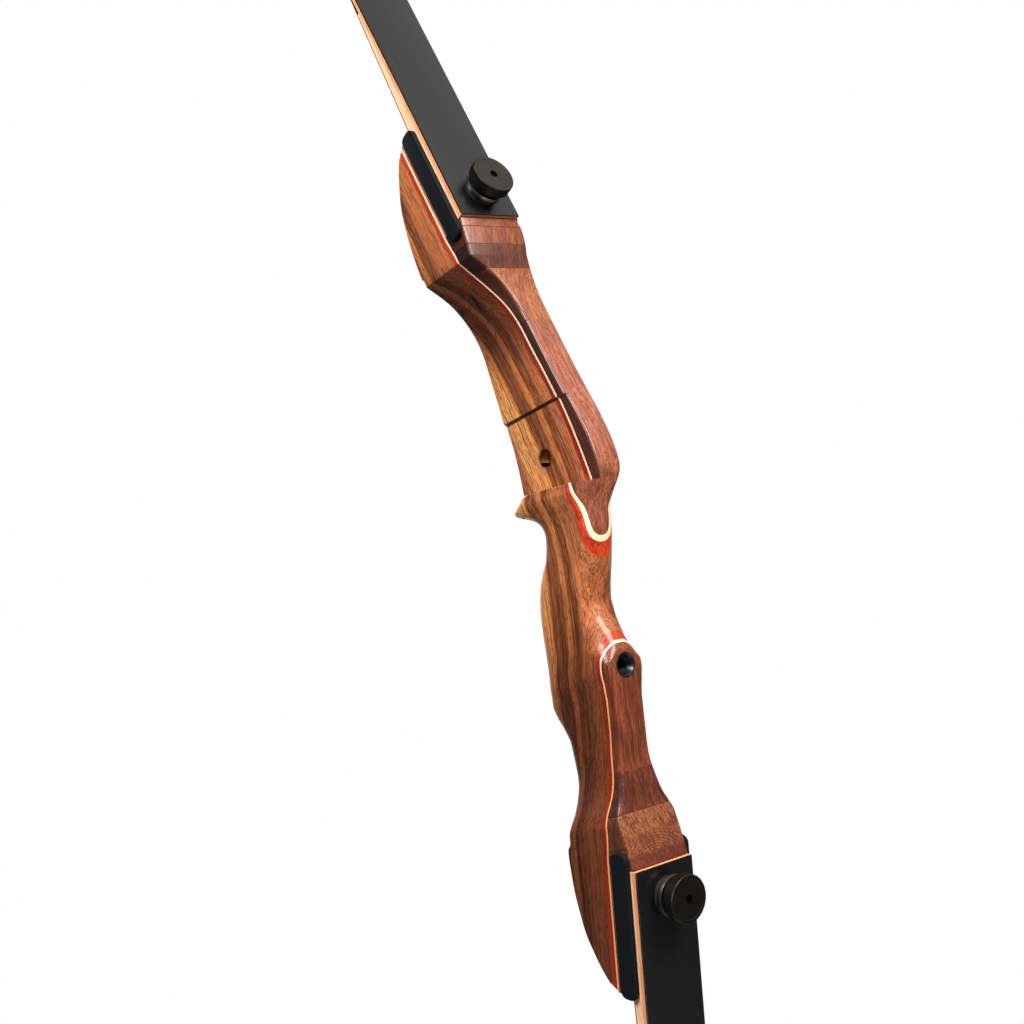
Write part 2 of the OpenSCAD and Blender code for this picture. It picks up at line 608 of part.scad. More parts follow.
// Limb bolts, drawn at rest with the limb clamped
collar_low = gap + washer_t;
neck_low = collar_low + collar_t + gap;
knob_low = neck_low + neck_h;
knob_top = knob_low + knob_t;
bolt_top = knob_top - hex_depth - 0.5;
module limb_knob(end) {
    chamfer = 0.5;
    color("#33312e") at_pad(end) across(bolt_from_butt, 0) difference() {
        union() {
            translate([0, 0, neck_low]) cylinder(r = neck_r, h = neck_h + 1);
            translate([0, 0, knob_low]) cylinder(r1 = knob_r - chamfer, r2 = knob_r, h = chamfer);
            translate([0, 0, knob_low + chamfer]) cylinder(r = knob_r, h = knob_t - 2 * chamfer);
            translate([0, 0, knob_top - chamfer])
                cylinder(r1 = knob_r, r2 = knob_r - chamfer, h = chamfer);
        }
        translate([0, 0, knob_top - hex_depth])
            cylinder(r = hex_af / 2 / cos(30), h = hex_depth + 1, $fn = 6);
        translate([0, 0, neck_low - 1]) cylinder(r = bolt_r + fit, h = bolt_top - neck_low + 1);
    }
}
module limb_bolt(end) {
    bolt_low = insert_top - bolt_grip;
    color("#8e9194") at_pad(end) across(bolt_from_butt, bolt_low) {
        cylinder(r1 = bolt_r - 0.8, r2 = bolt_r, h = 0.8);
        translate([0, 0, 0.8]) cylinder(r = bolt_r, h = bolt_top - bolt_low - 0.8);
    }
}
module thrust_collar(end) {
    color("#8d9092") at_pad(end) across(bolt_from_butt, collar_low) difference() {
        cylinder(r = collar_r, h = collar_t);
        translate([0, 0, -1]) cylinder(r = bolt_r + 0.08, h = collar_t + 2);
    }
}
module limb_washer(end) {
    color("#1e1e1e") at_pad(end) across(bolt_from_butt, gap) difference() {
        cylinder(r = washer_r, h = washer_t);
        translate([0, 0, -1]) cylinder(r = bolt_r + 0.35, h = washer_t + 2);
    }
}
module upper_limb_knob() { limb_knob(1); }
module upper_limb_bolt() { limb_bolt(1); }
module upper_thrust_collar() { thrust_collar(1); }
module upper_limb_washer() { limb_washer(1); }
module lower_limb_knob() { limb_knob(-1); }
module lower_limb_bolt() { limb_bolt(-1); }
module lower_thrust_collar() { thrust_collar(-1); }
module lower_limb_washer() { limb_washer(-1); }

riser_core();
upper_red_lamination();
upper_maple_lamination();
lower_red_lamination();
lower_maple_lamination();
upper_limb_pad();
lower_limb_pad();
upper_back_block_1();
upper_back_block_2();
upper_back_block_3();
upper_back_block_4();
upper_back_strip();
lower_back_block_1();
lower_back_block_2();
lower_back_block_3();
lower_back_strip();
upper_left_side_plate();
upper_right_side_plate();
lower_left_side_plate();
lower_right_side_plate();
upper_limb_insert();
lower_limb_insert();
upper_locating_pin();
lower_locating_pin();
stabilizer_bushing();
plunger_bushing();
sight_bushings();
upper_back_glass();
upper_limb_core();
upper_limb_wedge();
upper_belly_glass();
upper_tip_overlay();
lower_back_glass();
lower_limb_core();
lower_limb_wedge();
lower_belly_glass();
lower_tip_overlay();
upper_limb_knob();
upper_limb_bolt();
upper_thrust_collar();
upper_limb_washer();
lower_limb_knob();
lower_limb_bolt();
lower_thrust_collar();
lower_limb_washer();
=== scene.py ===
# Take-down recurve bow, seen from the back. Lengths in the dictionaries are millimetres, angles are
# degrees. +Z runs up along the bow, +Y to the target, +X to the arrow shelf.
import math
from functools import partial

import bmesh
import bpy
from mathutils import Matrix, Vector


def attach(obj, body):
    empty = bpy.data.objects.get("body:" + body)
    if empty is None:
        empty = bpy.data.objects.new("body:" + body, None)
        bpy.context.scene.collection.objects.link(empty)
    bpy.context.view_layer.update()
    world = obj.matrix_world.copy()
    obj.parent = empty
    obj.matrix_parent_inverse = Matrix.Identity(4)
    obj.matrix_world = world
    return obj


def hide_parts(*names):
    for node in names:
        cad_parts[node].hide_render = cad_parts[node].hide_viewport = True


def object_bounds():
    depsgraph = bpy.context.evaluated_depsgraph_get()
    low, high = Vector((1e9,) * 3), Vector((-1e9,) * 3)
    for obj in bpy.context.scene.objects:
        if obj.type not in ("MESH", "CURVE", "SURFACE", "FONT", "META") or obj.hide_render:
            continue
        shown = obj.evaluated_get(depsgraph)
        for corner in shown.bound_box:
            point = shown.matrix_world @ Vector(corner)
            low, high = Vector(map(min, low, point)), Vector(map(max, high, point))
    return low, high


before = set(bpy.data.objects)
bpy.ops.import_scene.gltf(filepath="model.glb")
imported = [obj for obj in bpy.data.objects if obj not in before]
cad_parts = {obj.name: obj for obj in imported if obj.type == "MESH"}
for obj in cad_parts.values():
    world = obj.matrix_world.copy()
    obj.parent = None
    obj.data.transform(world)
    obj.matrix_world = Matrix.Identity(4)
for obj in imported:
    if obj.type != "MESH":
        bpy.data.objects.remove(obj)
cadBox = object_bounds()
scene = bpy.context.scene
mm = 0.001
print("frame loaded:", len(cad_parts), "nodes")


def linear(code):
    # an sRGB hex colour as the linear colour that shaders and lamps take
    parts = [int(code[i:i + 2], 16) / 255 for i in (1, 3, 5)]
    return [c / 12.92 if c <= 0.04045 else ((c + 0.055) / 1.055) ** 2.4 for c in parts] + [1]


# Camera, light and what shiny surfaces mirror
view = {
    "place": (555.64, 620.93, -125.13),
    "forward": (-0.62769, -0.75995, 0.16876),
    "right": (-0.77325, 0.58358, -0.24803),
    "lens": 51.08,
}
eye = bpy.data.cameras.new("camera")
eye.lens = view["lens"]
eye.sensor_width = 36
camera = bpy.data.objects.new("camera", eye)
scene.collection.objects.link(camera)
ahead = Vector(view["forward"]).normalized()
side = Vector(view["right"]).normalized()
turn = Matrix((side, side.cross(ahead), -ahead)).transposed().to_4x4()
camera.matrix_world = Matrix.Translation(Vector(view["place"]) * mm) @ turn
scene.camera = camera
scene.view_settings.view_transform = "Standard"

lamps = {
    "key": {"place": (-200, 1600, 950), "aim": (0, 0, 40), "size": 800, "watts": 66, "tint": "#fff6ec"},
    "fill": {"place": (1150, 560, 1080), "aim": (0, 0, 20), "size": 700, "watts": 50, "tint": "#fbf8ff"},
    "rim": {"place": (-350, -1250, 850), "aim": (0, 0, -20), "size": 1100, "watts": 15, "tint": "#fffaf4"},
}
for name, lamp in lamps.items():
    light = bpy.data.lights.new(name, "AREA")
    light.color = linear(lamp["tint"])[:3]
    light.shape = "DISK"
    light.size = lamp["size"] * mm
    light.energy = lamp["watts"]
    stand = bpy.data.objects.new(name, light)
    scene.collection.objects.link(stand)
    lampPlace = Vector(lamp["place"]) * mm
    beam = (Vector(lamp["aim"]) * mm - lampPlace).to_track_quat("-Z", "Y")
    stand.matrix_world = Matrix.Translation(lampPlace) @ beam.to_matrix().to_4x4()


def addNode(tree, kind, inputs=(), **settings):
    # an input is a number, a hex colour, a socket, or a node that gives its first output in use.
    # MapRange takes 0 value, 1 and 2 the range it is in, 3 and 4 the range it becomes. Mix takes
    # 0 share, 6 and 7 the two colours.
    node = tree.nodes.new("ShaderNode" + kind)
    for name, value in settings.items():
        setattr(node, name, value)
    for name, value in dict(inputs).items():
        if isinstance(value, bpy.types.Node):
            value = next(way for way in value.outputs if way.enabled)
        if isinstance(value, bpy.types.NodeSocket):
            tree.links.new(value, node.inputs[name])
        else:
            node.inputs[name].default_value = linear(value) if isinstance(value, str) else value
    return node


# a white backdrop behind the bow and a white card above it, in a dim studio
studio = {
    "level": 0.13,
    "backdrop": {"middle": (-0.64, -0.77, 0), "starts": 0.7, "full": 0.85, "around": 0.04},
    "card": {"middle": (-0.56, 0.33, 0.76), "starts": 0.8, "full": 0.92, "around": 0.0},
}
world = bpy.data.worlds.new("studio")
world.use_nodes = True
world.node_tree.nodes.clear()
scene.world = world
add = partial(addNode, world.node_tree)
ray = add("LightPath").outputs
direction = add("TexCoord").outputs["Generated"]
cards = []
for card in (studio["backdrop"], studio["card"]):
    toward = add("VectorMath", {0: direction, 1: card["middle"]}, operation="DOT_PRODUCT")
    cards.append(add("MapRange", {0: toward, 1: card["starts"], 2: card["full"], 3: card["around"], 4: 1.0}))
mirrored = add("Math", {0: cards[0], 1: cards[1]}, operation="MAXIMUM")
mirrored = add("Math", {0: ray["Is Glossy Ray"], 1: mirrored}, operation="MULTIPLY")
white = add("Math", {0: ray["Is Camera Ray"], 1: ray["Is Transmission Ray"]}, operation="MAXIMUM")
white = add("Math", {0: white, 1: mirrored}, operation="MAXIMUM")
strength = add("Math", {0: white, 1: studio["level"]}, operation="MAXIMUM")
add("OutputWorld", {"Surface": add("Background", {"Color": "#ffffff", "Strength": strength})})
print("camera and light ready")

# Riser: the same sizes as the solid model
riser = {
    "buttZ": 196, "padAngle": 15.5, "padLength": 72, "width": 44.6, "windowBack": 21.5,
    "buttStep": 2.7, "edge": 1.6, "edgeSlope": 1.4, "shelfZ": 23.5, "shelfFall": 7, "shelfBand": 5.5,
    "passCut": 2.7, "windowCut": 1, "passHeight": 51.3, "stepRamp": 0.6, "windowTopGap": 25,
    "windowFade": 53, "shelfWidth": 15.5, "throat": 12.7, "palm": 14, "waist": 11.7, "lamDepth": 22,
    "maple": 1.2, "red": 3.2, "coreShort": 2.4, "stationStep": 1.6, "fineStep": 0.5, "gap": 0.3,
    "shoulder": 2.2, "groove": 0.3, "grooveShare": 0.018,
    "upperJoints": (5.5, 17.5, 33.5, 69.5), "lowerJoints": (7, 31, 54),
    # where the layers run out of the grip, and the levels that shape the shelf's nose and brink
    "upperRedEnd": -22.8, "upperMapleEnd": -13.9, "upperStripEnd": -10.2,
    "lowerRedEnd": -64.8, "lowerMapleEnd": -70.2, "lowerStripEnd": -71.9,
    "nose": (6.8, 9.3, 11.3, 14.3), "brink": (2.5, 0.8),
}
limb = {
    "width": 44, "length": 600, "straight": 330, "recurve": 62, "curl": 1.35, "nockHalf": 7.6,
    "nockFromTip": 14, "nockDepth": 2.4, "nockRound": 1.6, "glass": 0.9, "core": 2.6, "coreTip": 1.7,
    "wedge": 10.1, "wedgeLength": 190, "overlayLength": 46, "overlay": 4, "buttGap": 0.6,
    "edge": 0.35, "steps": 150, "solidSteps": 38,
}
sights = {
    "plungerY": -12.4, "plungerZ": 45.4, "plungerRadius": 5.5, "plungerLength": 12, "sightZ": 92,
    "sightGap": 33.3, "sightRadius": 4, "sightThread": 2.4, "sightLength": 11, "bevel": 0.3, "mouth": 0.5,
}
halfWidth = riser["width"] / 2
buttZ = riser["buttZ"]
padAngle = math.radians(riser["padAngle"])
padTan = math.tan(padAngle)
padCos = math.cos(padAngle)
padSin = math.sin(padAngle)
tip = buttZ + riser["padLength"] / padCos
coreTip = tip - riser["coreShort"]
windowTop = buttZ - riser["windowTopGap"]
fadeEnd = windowTop - riser["windowFade"]
shelfZ = riser["shelfZ"]
brinkLow, brinkHigh = (shelfZ - below for below in riser["brink"])
passTop = shelfZ + riser["passHeight"]
stepLow, stepHigh = passTop - riser["stepRamp"], passTop + riser["stepRamp"]
bandLow = shelfZ - riser["shelfBand"]
limbDepth = 2 * limb["glass"] + limb["core"] + limb["wedge"]
limbSlope = limb["wedge"] / limb["wedgeLength"]
upperJoints = [buttZ - d for d in riser["upperJoints"]]
lowerJoints = [d - buttZ for d in riser["lowerJoints"]]


def smoothCurve(points, t):
    # runs through the points and never overshoots them
    i = 0
    while i < len(points) - 2 and t >= points[i + 1][0]:
        i += 1

    def rise(k):
        return (points[k + 1][1] - points[k][1]) / (points[k + 1][0] - points[k][0])

    def lean(k):
        if k == 0 or k == len(points) - 1 or rise(k - 1) * rise(k) <= 0:
            return 0
        return 2 / (1 / rise(k - 1) + 1 / rise(k))

    width = points[i + 1][0] - points[i][0]
    u = min(max((t - points[i][0]) / width, 0), 1)
    return (points[i][1] * (1 + 2 * u) * (1 - u) ** 2 + points[i + 1][1] * u * u * (3 - 2 * u)
            + width * (lean(i) * u * (1 - u) ** 2 - lean(i + 1) * u * u * (1 - u)))


def padY(s, height):
    return height * padCos - (abs(s) - buttZ) * padCos * padSin


def padFace(s):
    return padY(s, -limbDepth - riser["gap"] + limbSlope * (abs(s) - buttZ) * padCos)


# Outlines of the riser as (station along the bow, value), as in the solid model
shelfTan = math.tan(math.radians(riser["shelfFall"]))
slopeLine = [(-buttZ, -padTan), (-windowTop, 0), (-30, 0), (bandLow, -shelfTan), (shelfZ, -shelfTan),
             (passTop, -0.02), (fadeEnd, 0), (windowTop, 0), (buttZ, padTan)]
lamEnd = padY(windowTop, -riser["lamDepth"])
upperLam = [(-24, 19.8), (-10, 20.3), (0, 21.4), (11, 22.2), (24, 21.5), (51, 17.8), (75, 12.8),
            (93, 7.8), (112, 1.9), (136, lamEnd + 10.3), (windowTop, lamEnd)]
lowerLam = [(-windowTop, lamEnd), (-150, lamEnd + 5.6), (-134, -6.4), (-119, -2.7), (-105, 0.9),
            (-93, 3.7), (-86, 5.2), (-80, 7.1), (-75, 9.3), (-70, 11.7), (-66, 12.9), (-60, 14.5)]
tipY = padY(tip, -riser["lamDepth"] - riser["maple"])
bellyLine = [(-tip, tipY), (-tip + 4, -46.8), (-tip + 16, -53), (-tip + 33, -57.4),
             (-tip + 48, -57.8), (-buttZ - 5, -55.6), (-buttZ + 8, -53), (-windowTop - 5, -50.6),
             (-windowTop + 8, -48), (-150, -45.6), (-139, -43.8), (-120, -44), (-110, -47),
             (-103, -50.4), (-97, -52), (-90, -50.4), (-73, -46.5), (-60, -44.4), (-43, -41.5),
             (-30, -36.8), (-21, -31), (-13, -24), (-6, -20.6), (-1, -19.6), (3.6, -20.6),
             (6.8, -23.8), (9.3, -29.8), (11.3, -36.8), (12.8, -41.4), (14.3, -43.1),
             (17.5, -43.7), (21, -42.9), (24, -41.6), (55, -39.8), (75, -40.7), (102, -42),
             (130, -43.8), (155, -47), (windowTop, -51.4), (buttZ - 10, -53.4),
             (buttZ + 12, -56.4), (tip - 46, -57.6), (tip - 33, -57.2), (tip - 16, -52.8),
             (tip - 4, -46.6), (tip, tipY)]
wallY = padY(buttZ, -riser["buttStep"])
backLine = [(-buttZ, wallY), (-180, -2.9), (-166, -3.7), (-150, -1.9), (-138, -1), (-120, 3.4),
            (-100, 7.9), (-92, 10), (-86, 11.4), (-83, 11.6), (-77, 12.6), (-73, 12), (-66, 9.9),
            (-61, 8.3), (-54, 6.3), (-46, 5.6), (-39.5, 7.6), (-32, 11), (-23, 15.8),
            (-13.4, 19.7), (-10, 21), (-2, 22.9), (8, 24.2), (16, 26), (22, 28), (28, 29.2),
            (36, 29.4), (44, 28.6), (60, 24.8), (80, 18.3), (100, 12.4), (122, 6.3), (141, 1.3),
            (152, -0.6), (165, -1.9), (180, -2.1), (buttZ, wallY)]
lowerSide = [(-windowTop, halfWidth), (-165, 20.8), (-158, 17.8), (-150, 15), (-141, 13.2),
             (-132, 12.4), (-119, riser["waist"]), (-105, riser["waist"] + 0.1), (-93, 12.8),
             (-86, 13.8), (-60, riser["palm"]), (-35, 13.4), (-18, riser["throat"]),
             (-6, riser["throat"])]
rightSide = lowerSide + [(4, 13.4), (11, 15), (18, 17.4), (25, 20.2), (33, riser["windowBack"]),
                         (150, riser["windowBack"]), (windowTop, halfWidth)]
shelfW = riser["shelfWidth"]
leftSide = lowerSide + [(1, 13), (8, 14.4), (bandLow, shelfW + 0.8), (brinkLow, shelfW + 0.2),
                        (brinkHigh, shelfW), (shelfZ, shelfW - 0.25)]
swell = riser["shoulder"]
swellLine = [(windowTop, 0), (windowTop + 8, swell * 0.8), (buttZ - 10, swell), (buttZ - 6, swell),
             (buttZ, 0)]
fadeLine = [(fadeEnd, 0), (fadeEnd + 18, 2), (windowTop - 14, 3.2), (windowTop, 0)]
fadeRise = halfWidth + riser["windowCut"]
fadeRadius = (fadeRise ** 2 + riser["windowFade"] ** 2) / (2 * fadeRise)

# How deep and how wide the long edges are rounded: the flat that is left between them
edge = riser["edge"]
edgeDepth = edge * riser["edgeSlope"]
edgeFlat = halfWidth - edge
bellyDepths = [(-windowTop, edgeDepth), (-158, 8), (-145, 10), (-110, 10), (-90, 13), (-40, 14),
               (-8, 12), (4, 14)]
bellyFlats = [(-windowTop, edgeFlat), (-158, 12.3), (-145, 7), (-110, 4.2), (-90, 3.1),
              (-40, 3), (-8, 2.9), (4, 2.5)]
bellyRightDepths = bellyDepths + [(12, 20), (30, 14), (60, 9), (145, 8), (windowTop, edgeDepth)]
bellyRightFlats = bellyFlats + [(12, 2.5), (30, 11), (60, 15.5), (145, 16), (windowTop, edgeFlat)]
noseDepths = [(4, 14), (bandLow - 4, 22)]
noseFlats = [(4, 2.5), (bandLow - 4, 0), (bandLow, -riser["passCut"])]
noseStarts = [(shelfZ - 10, 0), (shelfZ - 5, 3), (brinkLow, 4.8), (brinkHigh, 6.3), (shelfZ, 7.4)]
backDepths = [(-windowTop, edgeDepth), (-155, 5), (-95, 5.5), (-83, 5.5), (-77, 10), (-70, 16),
              (-61, 13), (-46, 8.5), (-20, 8)]
backFlats = [(-windowTop, edgeFlat), (-155, 13.5), (-146, 11.5), (-132, 9.8),
             (-119, riser["waist"] - 2.2), (-105, riser["waist"] - 2), (-93, 11), (-83, 12),
             (-77, 4), (-70, 1), (-60, 0.6), (-20, 0.4)]
backRightDepths = backDepths + [(6, 8), (20, 7), (32, 3), (windowTop, edgeDepth)]
backRightFlats = backFlats + [(6, 2), (20, 13.5), (32, riser["windowBack"] - 2),
                              (150, riser["windowBack"] - edge), (windowTop, edgeFlat)]
backLeftDepths = backDepths + [(-8, 6.3), (4, 6.3), (bandLow - 2, 8), (shelfZ, 10)]
backLeftFlats = backFlats + [(4, 0.6), (bandLow - 2, 1.5), (shelfZ, 1.5)]


def windowX(s):
    if s >= windowTop:
        return halfWidth
    if s > fadeEnd:
        return fadeRadius - riser["windowCut"] - math.sqrt(fadeRadius ** 2 - (s - fadeEnd) ** 2)
    return -smoothCurve([(stepLow, riser["passCut"]), (stepHigh, riser["windowCut"])], s)


def lamY(s):
    if abs(s) >= windowTop:
        return padY(s, -riser["lamDepth"])
    return smoothCurve(upperLam if s > -45 else lowerLam, s)


def bellyCorners(s):
    # for the left and the right edge: depth of the round, flat beside it, and where it starts
    right = (smoothCurve(bellyRightDepths, s), smoothCurve(bellyRightFlats, s), 0)
    if s > shelfZ:
        left = (edgeDepth, windowX(s) - edge, 0)
    elif s > 4:
        left = (smoothCurve(noseDepths, s), smoothCurve(noseFlats, s), smoothCurve(noseStarts, s))
    else:
        left = (smoothCurve(bellyDepths, s), smoothCurve(bellyFlats, s), 0)
    return left, right


def backCorners(s):
    right = (smoothCurve(backRightDepths, s), smoothCurve(backRightFlats, s), 0)
    if s > shelfZ:
        left = (edgeDepth, windowX(s) - edge, 0)
    else:
        left = (smoothCurve(backLeftDepths, s), smoothCurve(backLeftFlats, s), 0)
    return left, right


def roundedIn(depth, half, corner):
    u = max(depth - corner[2], 0)
    if u >= corner[0]:
        return 0
    return (half - corner[1]) * (1 - math.sqrt(1 - ((corner[0] - u) / corner[0]) ** 2))


def woodRing(s, layer, rows):
    # one cross-section of a layer: belly to back down the shelf side, and back up the other side
    belly = smoothCurve(bellyLine, s)
    back = padFace(s) if abs(s) > buttZ else smoothCurve(backLine, s)
    lam = lamY(s)
    mapleBack = lam + riser["maple"] / 2 / padCos
    mapleBelly = lam - riser["maple"] / 2 / padCos
    redBelly = mapleBelly - riser["red"] / padCos
    low = {"core": belly, "red": redBelly, "maple": mapleBelly, "back": mapleBack, "pad": mapleBack}[layer]
    high = {"core": redBelly, "red": mapleBelly, "maple": mapleBack, "back": back, "pad": back}[layer]
    low = max(low, belly)
    high = padFace(s) if layer == "pad" else min(high, back)
    leftHalf = windowX(s) if s > shelfZ else smoothCurve(leftSide, s)
    rightHalf = halfWidth if abs(s) >= windowTop else smoothCurve(rightSide, s)
    if windowTop < s < buttZ:
        rightHalf += smoothCurve(swellLine, s)
    bellyLeft, bellyRight = bellyCorners(s)
    backLeft, backRight = backCorners(s)
    tilt = smoothCurve(slopeLine, s)
    fade = smoothCurve(fadeLine, s) if fadeEnd <= s <= windowTop else 0
    leftWall, rightWall = [], []
    for i in range(rows + 1):
        y = low + (high - low) * (1 - math.cos(math.pi * i / rows)) / 2
        z = s + tilt * y
        left = leftHalf - roundedIn(y - belly, leftHalf, bellyLeft)
        left -= fade * min(max((y - mapleBack) / (back - mapleBack), 0), 1)
        right = rightHalf - roundedIn(y - belly, rightHalf, bellyRight)
        if abs(s) <= buttZ:
            left -= roundedIn(back - y, leftHalf, backLeft)
            right -= roundedIn(back - y, rightHalf, backRight)
        leftWall.append(Vector((left, y, z)) * mm)
        rightWall.append(Vector((-right, y, z)) * mm)
    return leftWall + rightWall[::-1]


def narrowed(ring):
    middle = sum(ring, Vector()) / len(ring)
    return [p.lerp(middle, riser["grooveShare"]) for p in ring]


breaks = sorted([-tip, -coreTip, -buttZ, -windowTop, riser["lowerStripEnd"], riser["lowerMapleEnd"],
                 riser["lowerRedEnd"], riser["upperRedEnd"], riser["upperMapleEnd"], riser["upperStripEnd"],
                 0, *riser["nose"], bandLow, brinkLow, brinkHigh, shelfZ, shelfZ + 0.05, stepLow, stepHigh,
                 fadeEnd, windowTop, buttZ, coreTip, tip, *upperJoints, *lowerJoints])


def stationsBetween(first, last):
    places = [first] + [b for b in breaks if first < b < last] + [last]
    found = []
    for a, b in zip(places, places[1:]):
        # closer together where the laminations run out of the grip
        step = riser["fineStep"] if -24 < a < 8 or -72 < a < -62 else riser["stationStep"]
        count = max(math.ceil((b - a) / step), 1)
        found += [a + (b - a) * j / count for j in range(count)]
    return found + [last]


def ofKind(parts, kind):
    return [part for part in parts if isinstance(part, kind)]


def swept(rings):
    # starts from the first ring as one face and extrudes it from ring to ring
    shape = bmesh.new()
    end = shape.faces.new([shape.verts.new(p) for p in rings[0]])
    for ring in rings[1:]:
        grown = bmesh.ops.extrude_face_region(shape, geom=[end])["geom"]
        end = ofKind(grown, bmesh.types.BMFace)[0]
        for corner, place in zip(end.verts, ring):
            corner.co = place
    return shape


def turned(profile, place, segments=96):
    # spins a (radius, height) profile round the local Z and puts it at its place
    shape = bmesh.new()
    rim = [shape.verts.new((r * mm, 0, h * mm)) for r, h in profile]
    lines = [shape.edges.new(pair) for pair in zip(rim, rim[1:])]
    bmesh.ops.spin(shape, geom=rim + lines, cent=(0, 0, 0), axis=(0, 0, 1), angle=math.tau,
                   steps=segments, use_merge=True)
    bmesh.ops.remove_doubles(shape, verts=shape.verts, dist=0.00001)
    bmesh.ops.transform(shape, matrix=place, verts=shape.verts)
    return shape


def nodeOf(piece):
    # riserCore stands for the node riser_core, upperBackBlock1 for upper_back_block_1
    return "".join("_" + c.lower() if c.isupper() or c.isdigit() else c for c in piece)


def addPiece(name, shape, material, body, sharp=35, standsFor=True):
    bmesh.ops.recalc_face_normals(shape, faces=shape.faces)
    mesh = bpy.data.meshes.new(name)
    shape.to_mesh(mesh)
    shape.free()
    mesh.shade_smooth()
    mesh.set_sharp_from_angle(angle=math.radians(sharp))
    mesh.materials.append(material)
    piece = bpy.data.objects.new(name, mesh)
    scene.collection.objects.link(piece)
    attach(piece, body)
    if standsFor:
        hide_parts(nodeOf(name))


def drilled(shape, holes):
    # cuts round holes, each given as (place, radius, depth) with the depth along the place's +Z
    block = bpy.data.objects.new("block", bpy.data.meshes.new("block"))
    bmesh.ops.recalc_face_normals(shape, faces=shape.faces)
    shape.to_mesh(block.data)
    scene.collection.objects.link(block)
    tools = []
    for place, radius, depth in holes:
        drill = bmesh.new()
        bmesh.ops.create_cone(drill, cap_ends=True, segments=64, radius1=radius * mm, radius2=radius * mm,
                              depth=depth * mm, matrix=place @ Matrix.Translation((0, 0, depth * mm / 2)))
        bmesh.ops.recalc_face_normals(drill, faces=drill.faces)
        tool = bpy.data.objects.new("drill", bpy.data.meshes.new("drill"))
        drill.to_mesh(tool.data)
        drill.free()
        scene.collection.objects.link(tool)
        cut = block.modifiers.new("hole", "BOOLEAN")
        cut.object = tool
        cut.solver = "EXACT"
        tools.append(tool)
    done = block.evaluated_get(bpy.context.evaluated_depsgraph_get())
    shape.clear()
    shape.from_mesh(done.to_mesh())
    done.to_mesh_clear()
    for old in tools + [block]:
        oldMesh = old.data
        bpy.data.objects.remove(old)
        bpy.data.meshes.remove(oldMesh)
    return shape


def padPlace(end, along, above):
    # a place on the limb pad, its Z standing out of the pad: end is 1 for the upper pad, -1 for the lower
    flip = Matrix.Scale(-1, 4, (0, 0, 1)) if end < 0 else Matrix.Identity(4)
    pad = Matrix.Translation((0, 0, buttZ * mm)) @ Matrix.Rotation(padAngle, 4, "X")
    onPad = Matrix.Translation((0, above * mm, along * mm))
    return flip @ pad @ onPad @ Matrix.Rotation(math.radians(-90), 4, "X")


def padFrame(end):
    # the butt's end of the pad, with Y standing out of the pad and Z running along it
    return padPlace(end, 0, 0) @ Matrix.Rotation(math.radians(90), 4, "X")


def sidePlace(y, z, x):
    return Matrix.Translation((x * mm, y * mm, z * mm)) @ Matrix.Rotation(math.radians(90), 4, "Y")


def newMaterial(name):
    # an empty material, the function that adds its nodes, and the place on the piece in mm
    material = bpy.data.materials.new(name)
    material.use_nodes = True
    material.node_tree.nodes.clear()
    add = partial(addNode, material.node_tree)
    spot = add("TexCoord").outputs["Object"]
    return material, add, add("VectorMath", {0: spot, "Scale": 1000}, operation="SCALE")


def finishSurface(add, colour, noise, roughness, bump, **sockets):
    # the last nodes of a material: roughness that follows a noise, and a bump of a height and a depth
    settings = {"Base Color": colour}
    settings["Roughness"] = add("MapRange", {0: noise, 1: 0.3, 2: 0.7, 3: roughness[0], 4: roughness[1]})
    settings.update({name.replace("_", " "): value for name, value in sockets.items()})
    if bump:
        height, depth = bump
        settings["Normal"] = add("Bump", {"Height": height, "Strength": 0.6, "Distance": depth * mm})
    add("OutputMaterial", {"Surface": add("BsdfPrincipled", settings)})


def tinted(add, colour, noise, start, full, amount, code):
    # lets another colour in where the noise passes from start to full
    share = add("MapRange", {0: noise, 1: start, 2: full, 4: amount})
    return add("Mix", {0: share, 6: colour, 7: code}, data_type="RGBA")


def grainNoise(add, place, sizes, seed, detail=3.0, warp=0.0):
    # noise whose features are sizes[0] mm across x, sizes[1] across the layers and sizes[2] along z
    scale, shift = [1 / size for size in sizes], (seed, seed * 1.7, seed * 0.6)
    spot = add("VectorMath", {0: place, 1: scale, 2: shift}, operation="MULTIPLY_ADD")
    return add("TexNoise", {"Vector": spot, "Scale": 1.0, "Detail": detail, "Roughness": 0.55,
                            "Distortion": warp})


def bandsAlong(add, distance, low, high, bands):
    # colours that stand at distances in mm and run evenly from one to the next
    ramp = add("ValToRGB", {"Fac": add("MapRange", {0: distance, 1: low, 2: high})})
    marks = ramp.color_ramp.elements
    while len(marks) < len(bands):
        marks.new(0.5)
    for mark, (at, code) in zip(marks, bands):
        mark.position = (at - low) / (high - low)
        mark.color = linear(code)
    return ramp


# Height of the light lamination above the line of the bow, along the bow: the wood's layers follow it
layerLine = [(-270, -40.3), (-171, -14.8), (-134, -6.4), (-105, 0.9), (-80, 7.1), (-66, 12.9),
             (-40, 18), (0, 21.4), (24, 21.5), (51, 17.8), (75, 12.8), (112, 1.9), (171, -14.8), (270, -40.3)]
woodReach = 270
layerReach = 50


